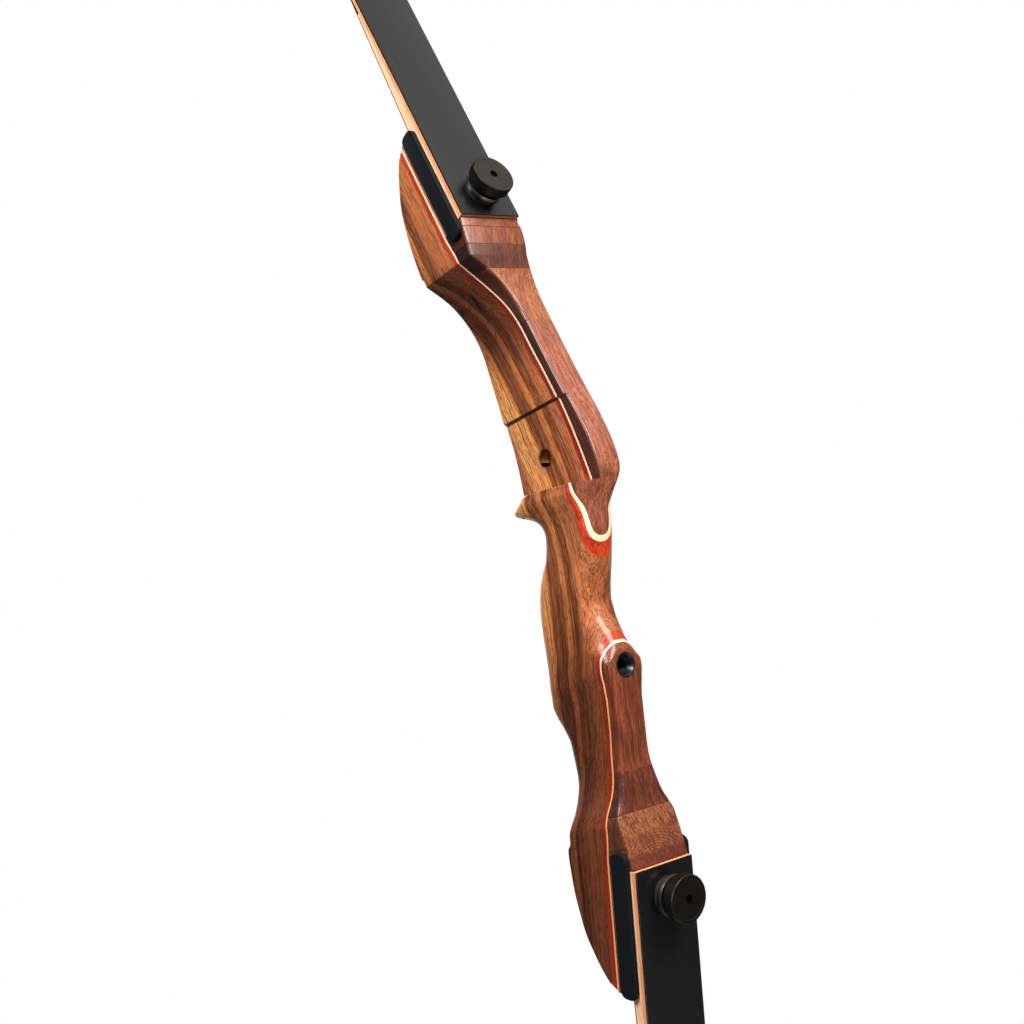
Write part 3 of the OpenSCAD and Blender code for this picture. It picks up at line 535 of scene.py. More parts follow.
def grainPlace(add, place, look):
    # where a point lies in the plank: across its wavy layers, and across them with hardly any waves
    x, y, z = add("SeparateXYZ", {0: place}).outputs
    bow = add("FloatCurve", {"Value": add("MapRange", {0: z, 1: -woodReach, 2: woodReach})})
    points = bow.mapping.curves[0].points
    while len(points) < len(layerLine):
        points.new(0.5, 0.5)
    for point, (along, height) in zip(points, layerLine):
        point.location = ((along + woodReach) / (2 * woodReach), (height + layerReach) / (2 * layerReach))
    bow.mapping.update()
    height = add("MapRange", {0: bow, 3: -layerReach, 4: layerReach})
    layer = add("Math", {0: y, 1: height}, operation="SUBTRACT")
    layer = add("Math", {0: x, 1: look["lean"], 2: layer}, operation="MULTIPLY_ADD")
    wave = grainNoise(add, place, (40, 22, 60), look["seed"], 2.0)
    ragged = grainNoise(add, place, (9, 6, 24), look["seed"] + 5)
    calm = add("Math", {0: wave, 1: look["wave"] * 0.12, 2: layer}, operation="MULTIPLY_ADD")
    layer = add("Math", {0: wave, 1: look["wave"], 2: layer}, operation="MULTIPLY_ADD")
    layer = add("Math", {0: ragged, 1: look["wave"] * 0.35, 2: layer}, operation="MULTIPLY_ADD")
    return layer, *(add("CombineXYZ", {"X": x, "Y": across, "Z": z}) for across in (layer, calm))


def growthRings(add, place, layer, wavy, look):
    rings = look["rings"]
    across = layer
    if "heart" in rings:
        # these rings run round a point of the face instead of along the layers
        heartX, heartZ = rings["heart"]
        flat = add("VectorMath", {0: place, 1: (1, 0, rings["squeeze"])}, operation="MULTIPLY")
        heart = (heartX, 0, heartZ * rings["squeeze"])
        across = add("VectorMath", {0: flat, 1: heart}, operation="DISTANCE")
    swirl = grainNoise(add, wavy, (12, 5, 38), look["seed"] + 17, 2.0)
    swirl = add("MapRange", {0: swirl, 4: rings["bend"]})
    turns = add("Math", {0: across, 1: math.tau / rings["spacing"], 2: swirl}, operation="MULTIPLY_ADD")
    lines = add("MapRange", {0: add("Math", {0: turns}, operation="SINE"), 1: 0.35})
    reach = add("MapRange", {0: across, 1: rings["start"], 2: rings["start"] - 3, 4: rings["strength"]})
    return add("Math", {0: lines, 1: reach}, operation="MULTIPLY")


def riserWood(name, look):
    material, add, place = newMaterial(name)
    x, _, z = add("SeparateXYZ", {0: place}).outputs
    layer, wavy, calm = grainPlace(add, place, look)
    bands = look["bands"]
    colour = bandsAlong(add, layer, bands[0][0], bands[-1][0], bands)
    for grain, sizes, seed, strength in ((wavy, (26, 2.6, 90), 3, look["streak"]),
                                         (calm, (2.6, 1.2, 36), 7, look["fine"]),
                                         (calm, (0.9, 0.7, 16), 13, look["fine"])):
        streaks = grainNoise(add, grain, sizes, look["seed"] + seed, 3.0, 0.3)
        colour = tinted(add, colour, streaks, 0.5, 0.62, strength, look["dark"])
        colour = tinted(add, colour, streaks, 0.48, 0.36, strength * 0.75, look["light"])
    if "rings" in look:
        lines = growthRings(add, place, layer, wavy, look)
        colour = add("Mix", {0: lines, 6: colour, 7: look["poreColour"]}, data_type="RGBA")
    pores = grainNoise(add, calm, (0.8, 0.55, look["pore"]), look["seed"] + 11, 2.0)
    openPores = add("MapRange", {0: pores, 1: 0.54, 2: 0.62})
    darkPores = add("Math", {0: openPores, 1: look["pores"]}, operation="MULTIPLY")
    colour = add("Mix", {0: darkPores, 6: colour, 7: look["poreColour"]}, data_type="RGBA")
    if "side" in look:
        # painted shade: faces that look to +X take the side colours, for the shade their walls lie in
        normal = add("TexCoord").outputs["Normal"]
        sideShadeMask = add("MapRange", {0: add("SeparateXYZ", {0: normal}).outputs[0], 1: 0.5, 2: 0.75, 4: 0.85})
        shadeRamp = bandsAlong(add, z, -woodReach, woodReach, look["side"])
        colour = add("Mix", {0: sideShadeMask, 6: colour, 7: shadeRamp}, data_type="RGBA", blend_type="MULTIPLY")
    for mark in look.get("marks", ()):
        # a soft dark ellipse in the side view, only on the window's wall and inside the core: the knots are
        # the wood's own, the rest is painted shade
        spot = add("VectorMath", {0: place, 1: (0, mark["y"], mark["z"])}, operation="SUBTRACT")
        spot = add("VectorMath", {0: spot, 1: (0, 1 / mark["wide"], 1 / mark["high"])}, operation="MULTIPLY")
        away = add("VectorMath", {0: spot, 1: spot}, operation="DOT_PRODUCT")
        away = add("Math", {0: streaks, 1: 1.6, 2: away}, operation="MULTIPLY_ADD")
        amount = add("MapRange", {0: away, 1: 2.0, 2: 1.2, 4: mark["dark"]})
        amount = add("Math", {0: amount, 1: add("MapRange", {0: x, 1: -8, 2: -5})}, operation="MULTIPLY")
        colour = add("Mix", {0: amount, 6: colour, 7: "#1e110a"}, data_type="RGBA")
    # the shade colours darken the wood along the bow: towards the bottom, and as painted shade where a wall
    # lies in shade
    if "shade" in look:
        shadeRamp = bandsAlong(add, z, -woodReach, woodReach, look["shade"])
        colour = add("Mix", {0: 1.0, 6: colour, 7: shadeRamp}, data_type="RGBA", blend_type="MULTIPLY")
    relief = add("MapRange", {0: streaks, 1: 0.3, 2: 0.7, 4: 0.25})
    relief = add("Math", {0: relief, 1: openPores}, operation="SUBTRACT")
    finishSurface(add, colour, streaks, (0.42, 0.52), (relief, 0.03), Coat_Weight=0.3, Coat_Roughness=0.22,
                  Specular_IOR_Level=0.2)
    return material


# Walnut under satin lacquer: bands of dark, tan and brown that follow the bow's line, with short pores
walnut = riserWood("lacquered walnut", {
    "bands": [(-56, "#6e4628"), (-51, "#b47040"), (-47, "#eaa860"), (-33.5, "#dc9450"), (-32, "#bc723c"),
              (-31, "#5c2f18"), (-21, "#68361c"), (-20, "#b06a36"), (-16.4, "#ba743e"), (-15.4, "#70381c"),
              (-14, "#542812"), (-9.5, "#703c22"), (-7.5, "#a45e38"), (6, "#b46e44")],
    "lean": 0.42, "seed": 4.0, "wave": 5.0, "streak": 0.3, "fine": 0.4, "dark": "#4c2210",
    "light": "#d48444", "pore": 4.5, "pores": 0.65, "poreColour": "#30160c",
    "rings": {"start": -31, "spacing": 2.4, "strength": 0.5, "bend": 22},
    # the core is darker below the grip, and has painted shade on the upper part of the window, whose wall
    # looks down
    "shade": [(-270, "#9c8c84"), (-140, "#9c8c84"), (-95, "#ac9e96"), (-60, "#e4dad6"), (-30, "#ffffff"),
              (85, "#ffffff"), (104, "#ece2da"), (118, "#b4a8a0"), (130, "#988c84"), (158, "#988c84"),
              (170, "#c4bab4"), (176, "#f4eeea")],
    # two dark knots near the window's top, a painted shadow along the narrow step, and painted shade in and
    # round the plunger hole
    "marks": ({"y": -26.3, "z": 150, "wide": 1.6, "high": 6.5, "dark": 0.95},
              {"y": -41.8, "z": 151, "wide": 1.5, "high": 3.5, "dark": 0.7},
              {"y": -12, "z": passTop, "wide": 300, "high": 0.9, "dark": 0.85},
              {"y": sights["plungerY"], "z": sights["plungerZ"], "wide": 6.4, "high": 6.4, "dark": 0.9}),
})

# Reddish walnut of the back: warm, with fine dark flecks along the bow
backLook = {
    "rows": 12, "slot": "back_wood", "lean": 0.3, "wave": 4.0, "streak": 0.5, "fine": 0.55, "pores": 0.7,
    "pore": 2.6, "poreColour": "#4a2015",
    # painted shade on the faces that look to the shelf's side, deepest beside the upper window
    "side": [(-196, "#a89894"), (-150, "#b8a8a2"), (-136, "#dccac4"), (-72, "#dccac4"), (20, "#746058"),
             (84, "#746058"), (108, "#50443e"), (150, "#483c38"), (172, "#746058")],
}
# the upper pieces from the butt down, then the lower ones from the butt up
backPieces = {
    "upperBackBlock1": {
        "wood": "butt block walnut", "seed": 31.0, "dark": "#502414", "light": "#92522e",
        "bands": [(-4, "#743a20"), (16, "#7a3e22")]},
    "upperBackBlock2": {
        "wood": "striped block walnut", "seed": 35.0, "dark": "#482012", "light": "#904e2a",
        "bands": [(-4, "#6e351c"), (16, "#763a1e")], "lean": 0.9, "streak": 0.7},
    "upperBackBlock3": {
        "wood": "dark block walnut", "seed": 39.0, "dark": "#2b120b", "light": "#6a3820",
        "bands": [(-4, "#462014"), (16, "#411c13")], "lean": 0.9, "streak": 0.6, "slot": "dark_wood"},
    "upperBackBlock4": {
        "wood": "light block walnut", "seed": 43.0, "dark": "#582c1a", "light": "#a06238",
        "bands": [(-4, "#844a29"), (16, "#80472a")]},
    "upperBackStrip": {
        "wood": "back strip walnut", "seed": 21.0, "dark": "#542a1e", "light": "#a26246",
        "bands": [(0, "#7c4531"), (6, "#824933"), (14, "#7e4530")], "rows": 14},
    "lowerBackBlock1": {
        "wood": "lower butt block walnut", "seed": 47.0, "dark": "#3e1b12", "light": "#763e26",
        "bands": [(-4, "#5c2b1e"), (16, "#582a1c")], "slot": "dark_wood"},
    "lowerBackBlock2": {
        "wood": "light end block walnut", "seed": 51.0, "dark": "#502616", "light": "#965e3a",
        "bands": [(-4, "#7a4426"), (16, "#804a2c")], "lean": 0.5, "fine": 0.75, "pore": 1.0,
        "rings": {"start": 28, "spacing": 2.6, "strength": 0.9, "bend": 6, "heart": (2, -192),
                  "squeeze": 1.7}},
    "lowerBackBlock3": {
        "wood": "lower dark block walnut", "seed": 55.0, "dark": "#381a12", "light": "#804426",
        "bands": [(-4, "#5e2d1e"), (16, "#58281a")], "slot": "dark_wood"},
    "lowerBackStrip": {
        "wood": "lower back strip walnut", "seed": 27.0, "dark": "#462014", "light": "#92502e",
        "bands": [(0, "#763822"), (6, "#7a3b26"), (16, "#743620")], "rows": 14},
}
upperEnds = [buttZ, *upperJoints, riser["upperStripEnd"]]
lowerEnds = [-buttZ, *lowerJoints, riser["lowerStripEnd"]]
backSpans = [*zip(upperEnds[1:], upperEnds), *zip(lowerEnds, lowerEnds[1:])]

# Dyed hardwood, glued in as a thin strip: saturated red with small dark specks
redWood = riserWood("red dyed lamination", {
    "bands": [(-8, "#bb3414"), (-3, "#c93f18"), (2, "#bb3414")], "lean": 0.2, "seed": 61.0, "wave": 3.0,
    "streak": 0.4, "fine": 0.5, "dark": "#7c1c12", "light": "#cf5226", "pore": 1.2, "pores": 0.7,
    "poreColour": "#5c140e",
    # darker towards the bottom, and painted shade where the strip runs along the window's wall
    "shade": [(-270, "#c4aaa2"), (-110, "#b89c94"), (-88, "#c4aaa2"), (-62, "#ecdcd8"), (-30, "#ffffff"),
              (22, "#ffffff"), (26, "#bca69e"), (110, "#ac968e"), (160, "#ac968e"), (172, "#e8dcd8"),
              (270, "#f0e8e4")]})
# Maple, almost without grain: a thin cream line
mapleWood = riserWood("pale maple lamination", {
    "bands": [(-4, "#efd6aa"), (4, "#f2dcb4")], "lean": 0.2, "seed": 67.0, "wave": 3.0, "streak": 0.2,
    "fine": 0.2, "dark": "#d9b684", "light": "#f8e8c8", "pore": 3.0, "pores": 0.1, "poreColour": "#c79a66",
    "shade": [(-270, "#e0bc98"), (-110, "#e0bc98"), (-88, "#f6e4d0"), (-72, "#ffffff"), (20, "#ffffff")]})

# Holes in the wood for the fittings
bolt = {"fromButt": 17.5, "radius": 3.95, "grip": 30, "pitch": 1.411, "threadDepth": 0.6, "point": 0.8,
        "plain": 0.5, "sunk": 0.05}
insert = {"radius": 7, "longer": 2, "sunk": 0.2, "bevel": 0.4, "mouth": 0.5, "mouthWide": 0.6, "play": 0.05}
pin = {"fromButt": 52, "radius": 3, "height": 6, "deep": 16, "nose": (0.8, 1), "play": 0.05}
# the stabilizer bushing's lip is given inward and down from its rim, its throat outward from the thread
stabilizer = {"y": 11.4, "z": -84.8, "tilt": 11, "flange": 7.25, "radius": 5.6, "length": 22, "seat": 1.5,
              "top": 0.4, "thread": 3.97, "pitch": 1.058, "threadDepth": 0.35, "threadTop": 4.2,
              "lip": [(0, 0.35), (0.12, 0.1), (0.4, 0), (0.9, 0.05), (1.3, 0.5), (2.0, 1.8)],
              "throat": [(0.5, 3.4), (0, 4)]}
drill = {"play": 0.02, "under": 1, "past": 10, "fromSide": 40, "through": 60, "throughLimb": 5}
padAtBolt = -limbDepth - riser["gap"] + limbSlope * bolt["fromButt"]
padAtPin = -limbDepth - riser["gap"] + limbSlope * pin["fromButt"]
insertTop = padAtBolt - insert["sunk"]
insertLength = bolt["grip"] + insert["longer"]
stabPlace = (Matrix.Translation((0, stabilizer["y"] * mm, stabilizer["z"] * mm))
             @ Matrix.Rotation(math.radians(-90 - stabilizer["tilt"]), 4, "X"))


def padHoles(end):
    return [(padPlace(end, bolt["fromButt"], insertTop - insertLength - drill["under"]),
             insert["radius"] + drill["play"], insertLength + drill["past"]),
            (padPlace(end, pin["fromButt"], padAtPin - pin["deep"]), pin["radius"] + drill["play"],
             pin["deep"] + drill["past"])]


stabHoles = [(stabPlace @ Matrix.Translation((0, 0, -low * mm)), stabilizer[size] + drill["play"],
              deep + drill["past"] + 2 * drill["under"])
             for low, size, deep in ((stabilizer["length"] + drill["under"], "radius", stabilizer["length"]),
                                     (stabilizer["seat"], "flange", 0))]
sightHeights = [sights["sightZ"], sights["sightZ"] + sights["sightGap"]]
sideHoles = [(sidePlace(sights["plungerY"], sights["plungerZ"], -drill["fromSide"]),
              sights["plungerRadius"] + drill["play"], drill["through"])]
for height in sightHeights:
    sideHoles.append((sidePlace(sights["plungerY"], height, -drill["fromSide"]),
                      sights["sightRadius"] + drill["play"],
                      drill["fromSide"] - riser["windowBack"] + sights["sightLength"] + drill["under"]))


def woodPiece(name, first, last, layer, rows, material, holes):
    rings = [woodRing(s, layer, rows) for s in stationsBetween(first, last)]
    if layer == "back":
        # fine grooves at the glued joints, but not where a strip runs out of the grip
        if first != riser["upperStripEnd"]:
            rings[0] = narrowed(rings[0])
            rings.insert(1, woodRing(first + riser["groove"], layer, rows))
        if last != riser["lowerStripEnd"]:
            rings[-1] = narrowed(rings[-1])
            rings.insert(-1, woodRing(last - riser["groove"], layer, rows))
    shape = swept(rings)
    if holes:
        shape = drilled(shape, holes)
    addPiece(name, shape, material, "riser", 32)


allHoles = padHoles(1) + padHoles(-1) + stabHoles + sideHoles
lowHoles = padHoles(-1) + stabHoles
woodPiece("riserCore", -coreTip, coreTip, "core", 30, walnut, allHoles)
woodPiece("upperRedLamination", riser["upperRedEnd"], tip, "red", 7, redWood, padHoles(1))
woodPiece("upperMapleLamination", riser["upperMapleEnd"], tip, "maple", 5, mapleWood, padHoles(1))
woodPiece("lowerRedLamination", -tip, riser["lowerRedEnd"], "red", 7, redWood, lowHoles)
woodPiece("lowerMapleLamination", -tip, riser["lowerMapleEnd"], "maple", 5, mapleWood, lowHoles)
woodPiece("upperLimbPad", buttZ, tip, "pad", 4, walnut, padHoles(1))
woodPiece("lowerLimbPad", -tip, -buttZ, "pad", 4, walnut, padHoles(-1))
for (name, own), (first, last) in zip(backPieces.items(), backSpans):
    look = {**backLook, **own}
    holes = stabHoles if name == "lowerBackStrip" else []
    woodPiece(name, first, last, "back", look["rows"], riserWood(look["wood"], look), holes)
print("riser wood ready")


def mottled(name, colours, perMm, detail, roughness, bump, **sockets):
    # the small fittings: two close shades and a gloss that change over perMm spots in a millimetre
    material, add, place = newMaterial(name)
    spots = add("TexNoise", {"Vector": place, "Scale": perMm, "Detail": detail})
    shade = add("Mix", {0: spots, 6: colours[0], 7: colours[1]}, data_type="RGBA")
    finishSurface(add, shade, spots, roughness, (spots, bump) if bump else None, **sockets)
    return material


# Dull black moulded plastic with a soft edge shine, and nylon that is duller still
blackPlate = mottled("moulded black plate plastic", ("#101214", "#161a1c"), 3.0, 3.0, (0.42, 0.52), 0.02,
                     Specular_IOR_Level=0.04)
nylon = mottled("black nylon washer", ("#121212", "#1c1c1c"), 2.5, 3.0, (0.5, 0.65), 0.02, IOR=1.45)
# Steel under black oxide: brownish black and softly shiny, and the same steel turned smooth and brighter
gunmetal = mottled("black oxide knob steel", ("#2b2a27", "#35332f"), 0.8, 5.0, (0.38, 0.5), 0.01,
                   Metallic=1.0)
satinSteel = mottled("satin oxide collar steel", ("#6e6c68", "#817f7a"), 2.0, 4.0, (0.26, 0.36), None,
                     Metallic=1.0)
# Zinc plated steel, bright grey, and turned brass, yellow
boltSteel = mottled("zinc plated bolt steel", ("#8b8e91", "#a2a5a8"), 1.2, 3.0, (0.25, 0.4), None,
                    Metallic=1.0)
brass = mottled("turned brass", ("#a9843f", "#c09a52"), 2.0, 3.0, (0.25, 0.4), None, Metallic=1.0)
# Anodised aluminium, deep black with crisp reflections
blackGloss = mottled("black anodised bushing aluminium", ("#08090a", "#101214"), 1.5, 3.0, (0.3, 0.38), None,
                     IOR=1.5)

# Black plates that hold the limb sideways, screwed flat on the pads
plate = {"thick": 2.8, "width": 12.5, "length": 82, "corner": 4.5, "depth": 17.3, "over": 9, "shortOver": 0.3,
         "bevel": 0.5}


def sidePlate(name, end, side, over):
    shape = bmesh.new()
    low, high = -plate["depth"], -plate["depth"] + plate["width"]
    far = plate["length"] - plate["over"]
    corners = [(high, -over), (high, far), (low, far), (low, -over)]
    x = halfWidth if side > 0 else -halfWidth - plate["thick"]
    shape.faces.new([shape.verts.new((x * mm, h * mm, l * mm)) for h, l in corners])
    bmesh.ops.bevel(shape, geom=shape.verts[:], offset=plate["corner"] * mm, segments=10, profile=0.5,
                    affect="VERTICES", material=-1)
    grown = bmesh.ops.extrude_face_region(shape, geom=shape.faces[:])["geom"]
    bmesh.ops.translate(shape, verts=ofKind(grown, bmesh.types.BMVert), vec=(plate["thick"] * mm, 0, 0))
    bmesh.ops.recalc_face_normals(shape, faces=shape.faces)
    outer = (x + (plate["thick"] if side > 0 else 0)) * mm
    rim = [e for e in shape.edges if all(abs(v.co.x - outer) < 1e-6 for v in e.verts)]
    bmesh.ops.bevel(shape, geom=rim, offset=plate["bevel"] * mm, segments=3, profile=0.5, affect="EDGES",
                    material=-1)
    bmesh.ops.transform(shape, matrix=padFrame(end), verts=shape.verts)
    addPiece(name, shape, blackPlate, "riser", 40)


for end, word in ((1, "upper"), (-1, "lower")):
    sidePlate(word + "LeftSidePlate", end, 1, plate["over"])
    sidePlate(word + "RightSidePlate", end, -1, plate["shortOver"] if end > 0 else plate["over"])
print("side plates ready")


def limbGlass(name, roughness):
    # fibreglass: satin black, with faint lengthwise fibres
    material, add, place = newMaterial(name)
    fibres = grainNoise(add, place, (0.6, 30, 70), 71.0)
    colour = add("Mix", {0: fibres, 6: "#08090a", 7: "#101112"}, data_type="RGBA")
    finishSurface(add, colour, fibres, roughness, (fibres, 0.01), Specular_IOR_Level=0.3)
    return material


def limbWood(name, base, dark, light, seed):
    material, add, place = newMaterial(name)
    grain = grainNoise(add, place, (1.4, 1.1, 60), seed, 4.0, 0.3)
    colour = tinted(add, base, grain, 0.5, 0.72, 1.0, dark)
    colour = tinted(add, colour, grain, 0.46, 0.3, 0.7, light)
    finishSurface(add, colour, grain, (0.4, 0.5), (grain, 0.02), Specular_IOR_Level=0.15)
    return material


blackGlass = limbGlass("black limb fibreglass", (0.31, 0.39))
bellyGlass = limbGlass("black belly fibreglass", (0.33, 0.41))
coreWood = limbWood("limb core maple", "#cf8d60", "#b8744a", "#dfa57a", 81.0)  # orange tan under lacquer
wedgeWood = limbWood("limb wedge maple", "#e0b58a", "#cc9a6a", "#efcba4", 85.0)  # paler, towards the belly
tipWood = limbWood("dark tip overlay wood", "#3a2a22", "#241812", "#4c382c", 89.0)  # nearly black brown


# Limbs
def limbAngle(l):
    if l < limb["straight"]:
        return 0
    done = (l - limb["straight"]) / (limb["length"] - limb["straight"])
    return math.radians(limb["recurve"] * done ** limb["curl"])


limbTip = limb["length"]
nockL = limbTip - limb["nockFromTip"]
nockHalf = limb["nockHalf"]
evenLength = nockL - 3 - limb["buttGap"]
limbPlaces = [limb["buttGap"] + evenLength * i / limb["steps"] for i in range(limb["steps"] + 1)]
limbPlaces += [nockL - limb["nockRound"], nockL - 1, nockL, nockL + 1, nockL + limb["nockRound"], nockL + 4,
               nockL + 7, limbTip - 4, limbTip - 2, limbTip - 0.8, limbTip]
# the same polyline as the solid model's, so that both bend alike
solidPlaces = [limb["buttGap"] + evenLength * i / limb["solidSteps"] for i in range(limb["solidSteps"] + 1)]
solidPlaces += [nockL - 1, nockL + 1, nockL + 3, limbTip - 4, limbTip]
widthLine = [(0, limb["width"] / 2), (limb["straight"] * 0.7, limb["width"] / 2),
             (limbTip * 0.8, limb["width"] * 0.31), (nockL, nockHalf), (limbTip - 4, nockHalf - 1),
             (limbTip, nockHalf - 3)]
overlayStart = limbTip - limb["overlayLength"]
overlayLine = [(overlayStart, 0.3), (overlayStart + 20, limb["overlay"]), (limbTip - 8, limb["overlay"]),
               (limbTip, limb["overlay"] * 0.55)]
spine = [(limb["buttGap"], 0.0)]
for a, b in zip(solidPlaces, solidPlaces[1:]):
    bend = limbAngle((a + b) / 2)
    spine.append((spine[-1][0] + (b - a) * math.cos(bend), spine[-1][1] + (b - a) * math.sin(bend)))
alongLine, outLine = ([(l, point[i]) for l, point in zip(solidPlaces, spine)] for i in (0, 1))


def limbHalf(l):
    notch = max(1 - ((l - nockL) / limb["nockRound"]) ** 2, 0)
    return smoothCurve(widthLine, l) - limb["nockDepth"] * math.sqrt(notch)


def limbDepths(l):
    # depths of the faces between the layers, back glass first, and last the top of the tip overlay
    core = limb["core"] + (limb["coreTip"] - limb["core"]) * l / limbTip
    wedge = limb["wedge"] * max(1 - l / limb["wedgeLength"], 0)
    glass = limb["glass"]
    wood = glass + core + wedge
    return [0, glass, glass + core, wood, 2 * glass + core + wedge, -smoothCurve(overlayLine, l)]


def limbRing(l, top, bottom):
    along = smoothCurve(alongLine, l)
    out = smoothCurve(outLine, l) if l > limb["straight"] else 0
    bend = limbAngle(l)
    depths = limbDepths(l)
    half = limbHalf(l)
    corners = []
    for x, d in ((half, top), (half, bottom), (-half, bottom), (-half, top)):
        corners.append(Vector((x, out - depths[d] * math.cos(bend), along + depths[d] * math.sin(bend))) * mm)
    return corners


def runsLengthwise(line):
    a, b = (v.co for v in line.verts)
    return line.calc_length() > 0 and abs((a - b).normalized().x) < 0.5


def limbLayer(name, end, faces, last, material, holes, rounded=None, first=limb["buttGap"]):
    # one layer between two faces of the limb, with the long edges of its outer face rounded
    places = [first] + [l for l in limbPlaces if first < l < last] + [last]
    shape = swept([limbRing(l, *faces) for l in places])
    if rounded is not None:
        corners = [limbRing(l, rounded, rounded)[0] for l in places]
        rows = {(round(p.y, 6), round(p.z, 6)) for p in corners}
        outer = [e for e in shape.edges if runsLengthwise(e)
                 and all((round(v.co.y, 6), round(v.co.z, 6)) in rows for v in e.verts)]
        bmesh.ops.bevel(shape, geom=outer, offset=limb["edge"] * mm, segments=3, profile=0.5, affect="EDGES",
                        material=-1)
    bmesh.ops.transform(shape, matrix=padFrame(end), verts=shape.verts)
    if holes:
        shape = drilled(shape, holes)
    addPiece(name, shape, material, "upper_limb" if end > 0 else "lower_limb")


# these two layers end on a station of the solid model
wedgeStop = max(l for l in solidPlaces if l <= limb["wedgeLength"] - 8)
overlayFirst = min(l for l in solidPlaces if l >= overlayStart)
for end, word in ((1, "upper"), (-1, "lower")):
    beyond = limbDepth + drill["throughLimb"]
    boltHole = [(padPlace(end, bolt["fromButt"], -beyond), bolt["radius"] + riser["gap"],
                 beyond + drill["throughLimb"])]
    pinHole = [(padPlace(end, pin["fromButt"], -beyond), pin["radius"] + pin["play"],
                beyond + padAtPin + pin["height"] + riser["gap"])]
    bothHoles = boltHole + pinHole
    limbLayer(word + "BackGlass", end, (0, 1), limbTip, blackGlass, boltHole, 0)
    limbLayer(word + "LimbCore", end, (1, 2), limbTip, coreWood, boltHole)
    limbLayer(word + "LimbWedge", end, (2, 3), wedgeStop, wedgeWood, bothHoles)
    limbLayer(word + "BellyGlass", end, (3, 4), limbTip, bellyGlass, bothHoles, 4)
    limbLayer(word + "TipOverlay", end, (5, 0), limbTip, tipWood, [], first=overlayFirst)
print("limbs ready")

# Limb bolts and their knobs, inserts and pins
knob = {"radius": 13.7, "thick": 7, "neck": 9.4, "neckHeight": 2.6, "hex": 4.8, "hexDepth": 3, "disc": 3.456,
        "discDeep": 3.3, "floor": 0.5, "rim": 2.2, "dish": 0.12, "teeth": 64, "tooth": 0.42, "toothRows": 8,
        "chamfer": 0.5, "underside": 0.3, "dishSlope": 0.2, "play": 0.02}
collar = {"radius": 12, "thick": 3.5, "play": 0.08, "round": 0.4}
washer = {"radius": 10.6, "thick": 3.5, "play": 0.35, "round": 0.4}
collarLow = riser["gap"] + washer["thick"]
neckLow = collarLow + collar["thick"] + riser["gap"]
knobLow = neckLow + knob["neckHeight"]
knobTop = knobLow + knob["thick"]
knobFace = knobTop - knob["dish"]
boltTop = knobTop - knob["hexDepth"] - knob["floor"]


def knurledKnob(end):
    # a turned head whose rim rows are pushed in turn by turn, so that they form a diamond knurl
    # that is coarser than a real one, so that it shows
    rows, chamfer, bore = knob["toothRows"], knob["chamfer"], bolt["radius"] + knob["play"]
    rimLow, rimHigh = knobLow + chamfer, knobTop - chamfer
    rowHeight = (rimHigh - rimLow) / rows
    profile = [(bore, neckLow), (knob["neck"], neckLow), (knob["neck"], knobLow),
               (knob["radius"] - chamfer - knob["underside"], knobLow)]
    profile += [(knob["radius"], rimLow + (rimHigh - rimLow) * i / rows) for i in range(rows + 1)]
    inner = knob["radius"] - knob["rim"]
    profile += [(knob["radius"] - chamfer, knobTop), (inner, knobTop), (inner - knob["dishSlope"], knobFace),
                (knob["disc"], knobFace), (knob["disc"], boltTop), (bore, boltTop), (bore, neckLow)]
    shape = turned(profile, Matrix.Identity(4), knob["teeth"] * 2)
    for v in shape.verts:
        if abs(math.hypot(v.co.x, v.co.y) - knob["radius"] * mm) < 1e-6:
            row = round((v.co.z / mm - rimLow) / rowHeight)
            tooth = round(math.atan2(v.co.y, v.co.x) / (math.pi / knob["teeth"]))
            if (row + tooth) % 2:
                v.co.x *= 1 - knob["tooth"] / knob["radius"]
                v.co.y *= 1 - knob["tooth"] / knob["radius"]
    bmesh.ops.transform(shape, matrix=padPlace(end, bolt["fromButt"], 0), verts=shape.verts)
    return shape


def hexSocket(end):
    # the middle of the head: a disc with a six-sided socket pressed into it
    shape = bmesh.new()
    hexRadius = knob["hex"] / 2 / math.cos(math.radians(30))
    bmesh.ops.create_circle(shape, cap_ends=False, segments=6, radius=hexRadius * mm)
    bmesh.ops.create_circle(shape, cap_ends=False, segments=48, radius=knob["disc"] * mm)
    bmesh.ops.bridge_loops(shape, edges=shape.edges[:])
    bmesh.ops.translate(shape, verts=shape.verts, vec=(0, 0, knobFace * mm))
    hexEdges = [e for e in shape.edges if e.is_boundary
                and all(math.hypot(v.co.x, v.co.y) < knob["disc"] * 0.9 * mm for v in e.verts)]
    deep = bmesh.ops.extrude_edge_only(shape, edges=hexEdges)["geom"]
    bmesh.ops.translate(shape, verts=ofKind(deep, bmesh.types.BMVert), vec=(0, 0, -knob["hexDepth"] * mm))
    bmesh.ops.edgeloop_fill(shape, edges=ofKind(deep, bmesh.types.BMEdge))
    rimEdges = [e for e in shape.edges if e.is_boundary]
    under = bmesh.ops.extrude_edge_only(shape, edges=rimEdges)["geom"]
    bmesh.ops.translate(shape, verts=ofKind(under, bmesh.types.BMVert), vec=(0, 0, -knob["discDeep"] * mm))
    bmesh.ops.edgeloop_fill(shape, edges=ofKind(under, bmesh.types.BMEdge))
    bmesh.ops.transform(shape, matrix=padPlace(end, bolt["fromButt"], 0), verts=shape.verts)
    return shape


def threaded(low, high, outer, pitch, depth):
    # profile of a screw thread drawn as close rings
    points, h = [], low
    while h < high - pitch:
        points += [(outer, h + pitch * 0.1), (outer - depth, h + pitch * 0.5), (outer, h + pitch * 0.9)]
        h += pitch
    return points


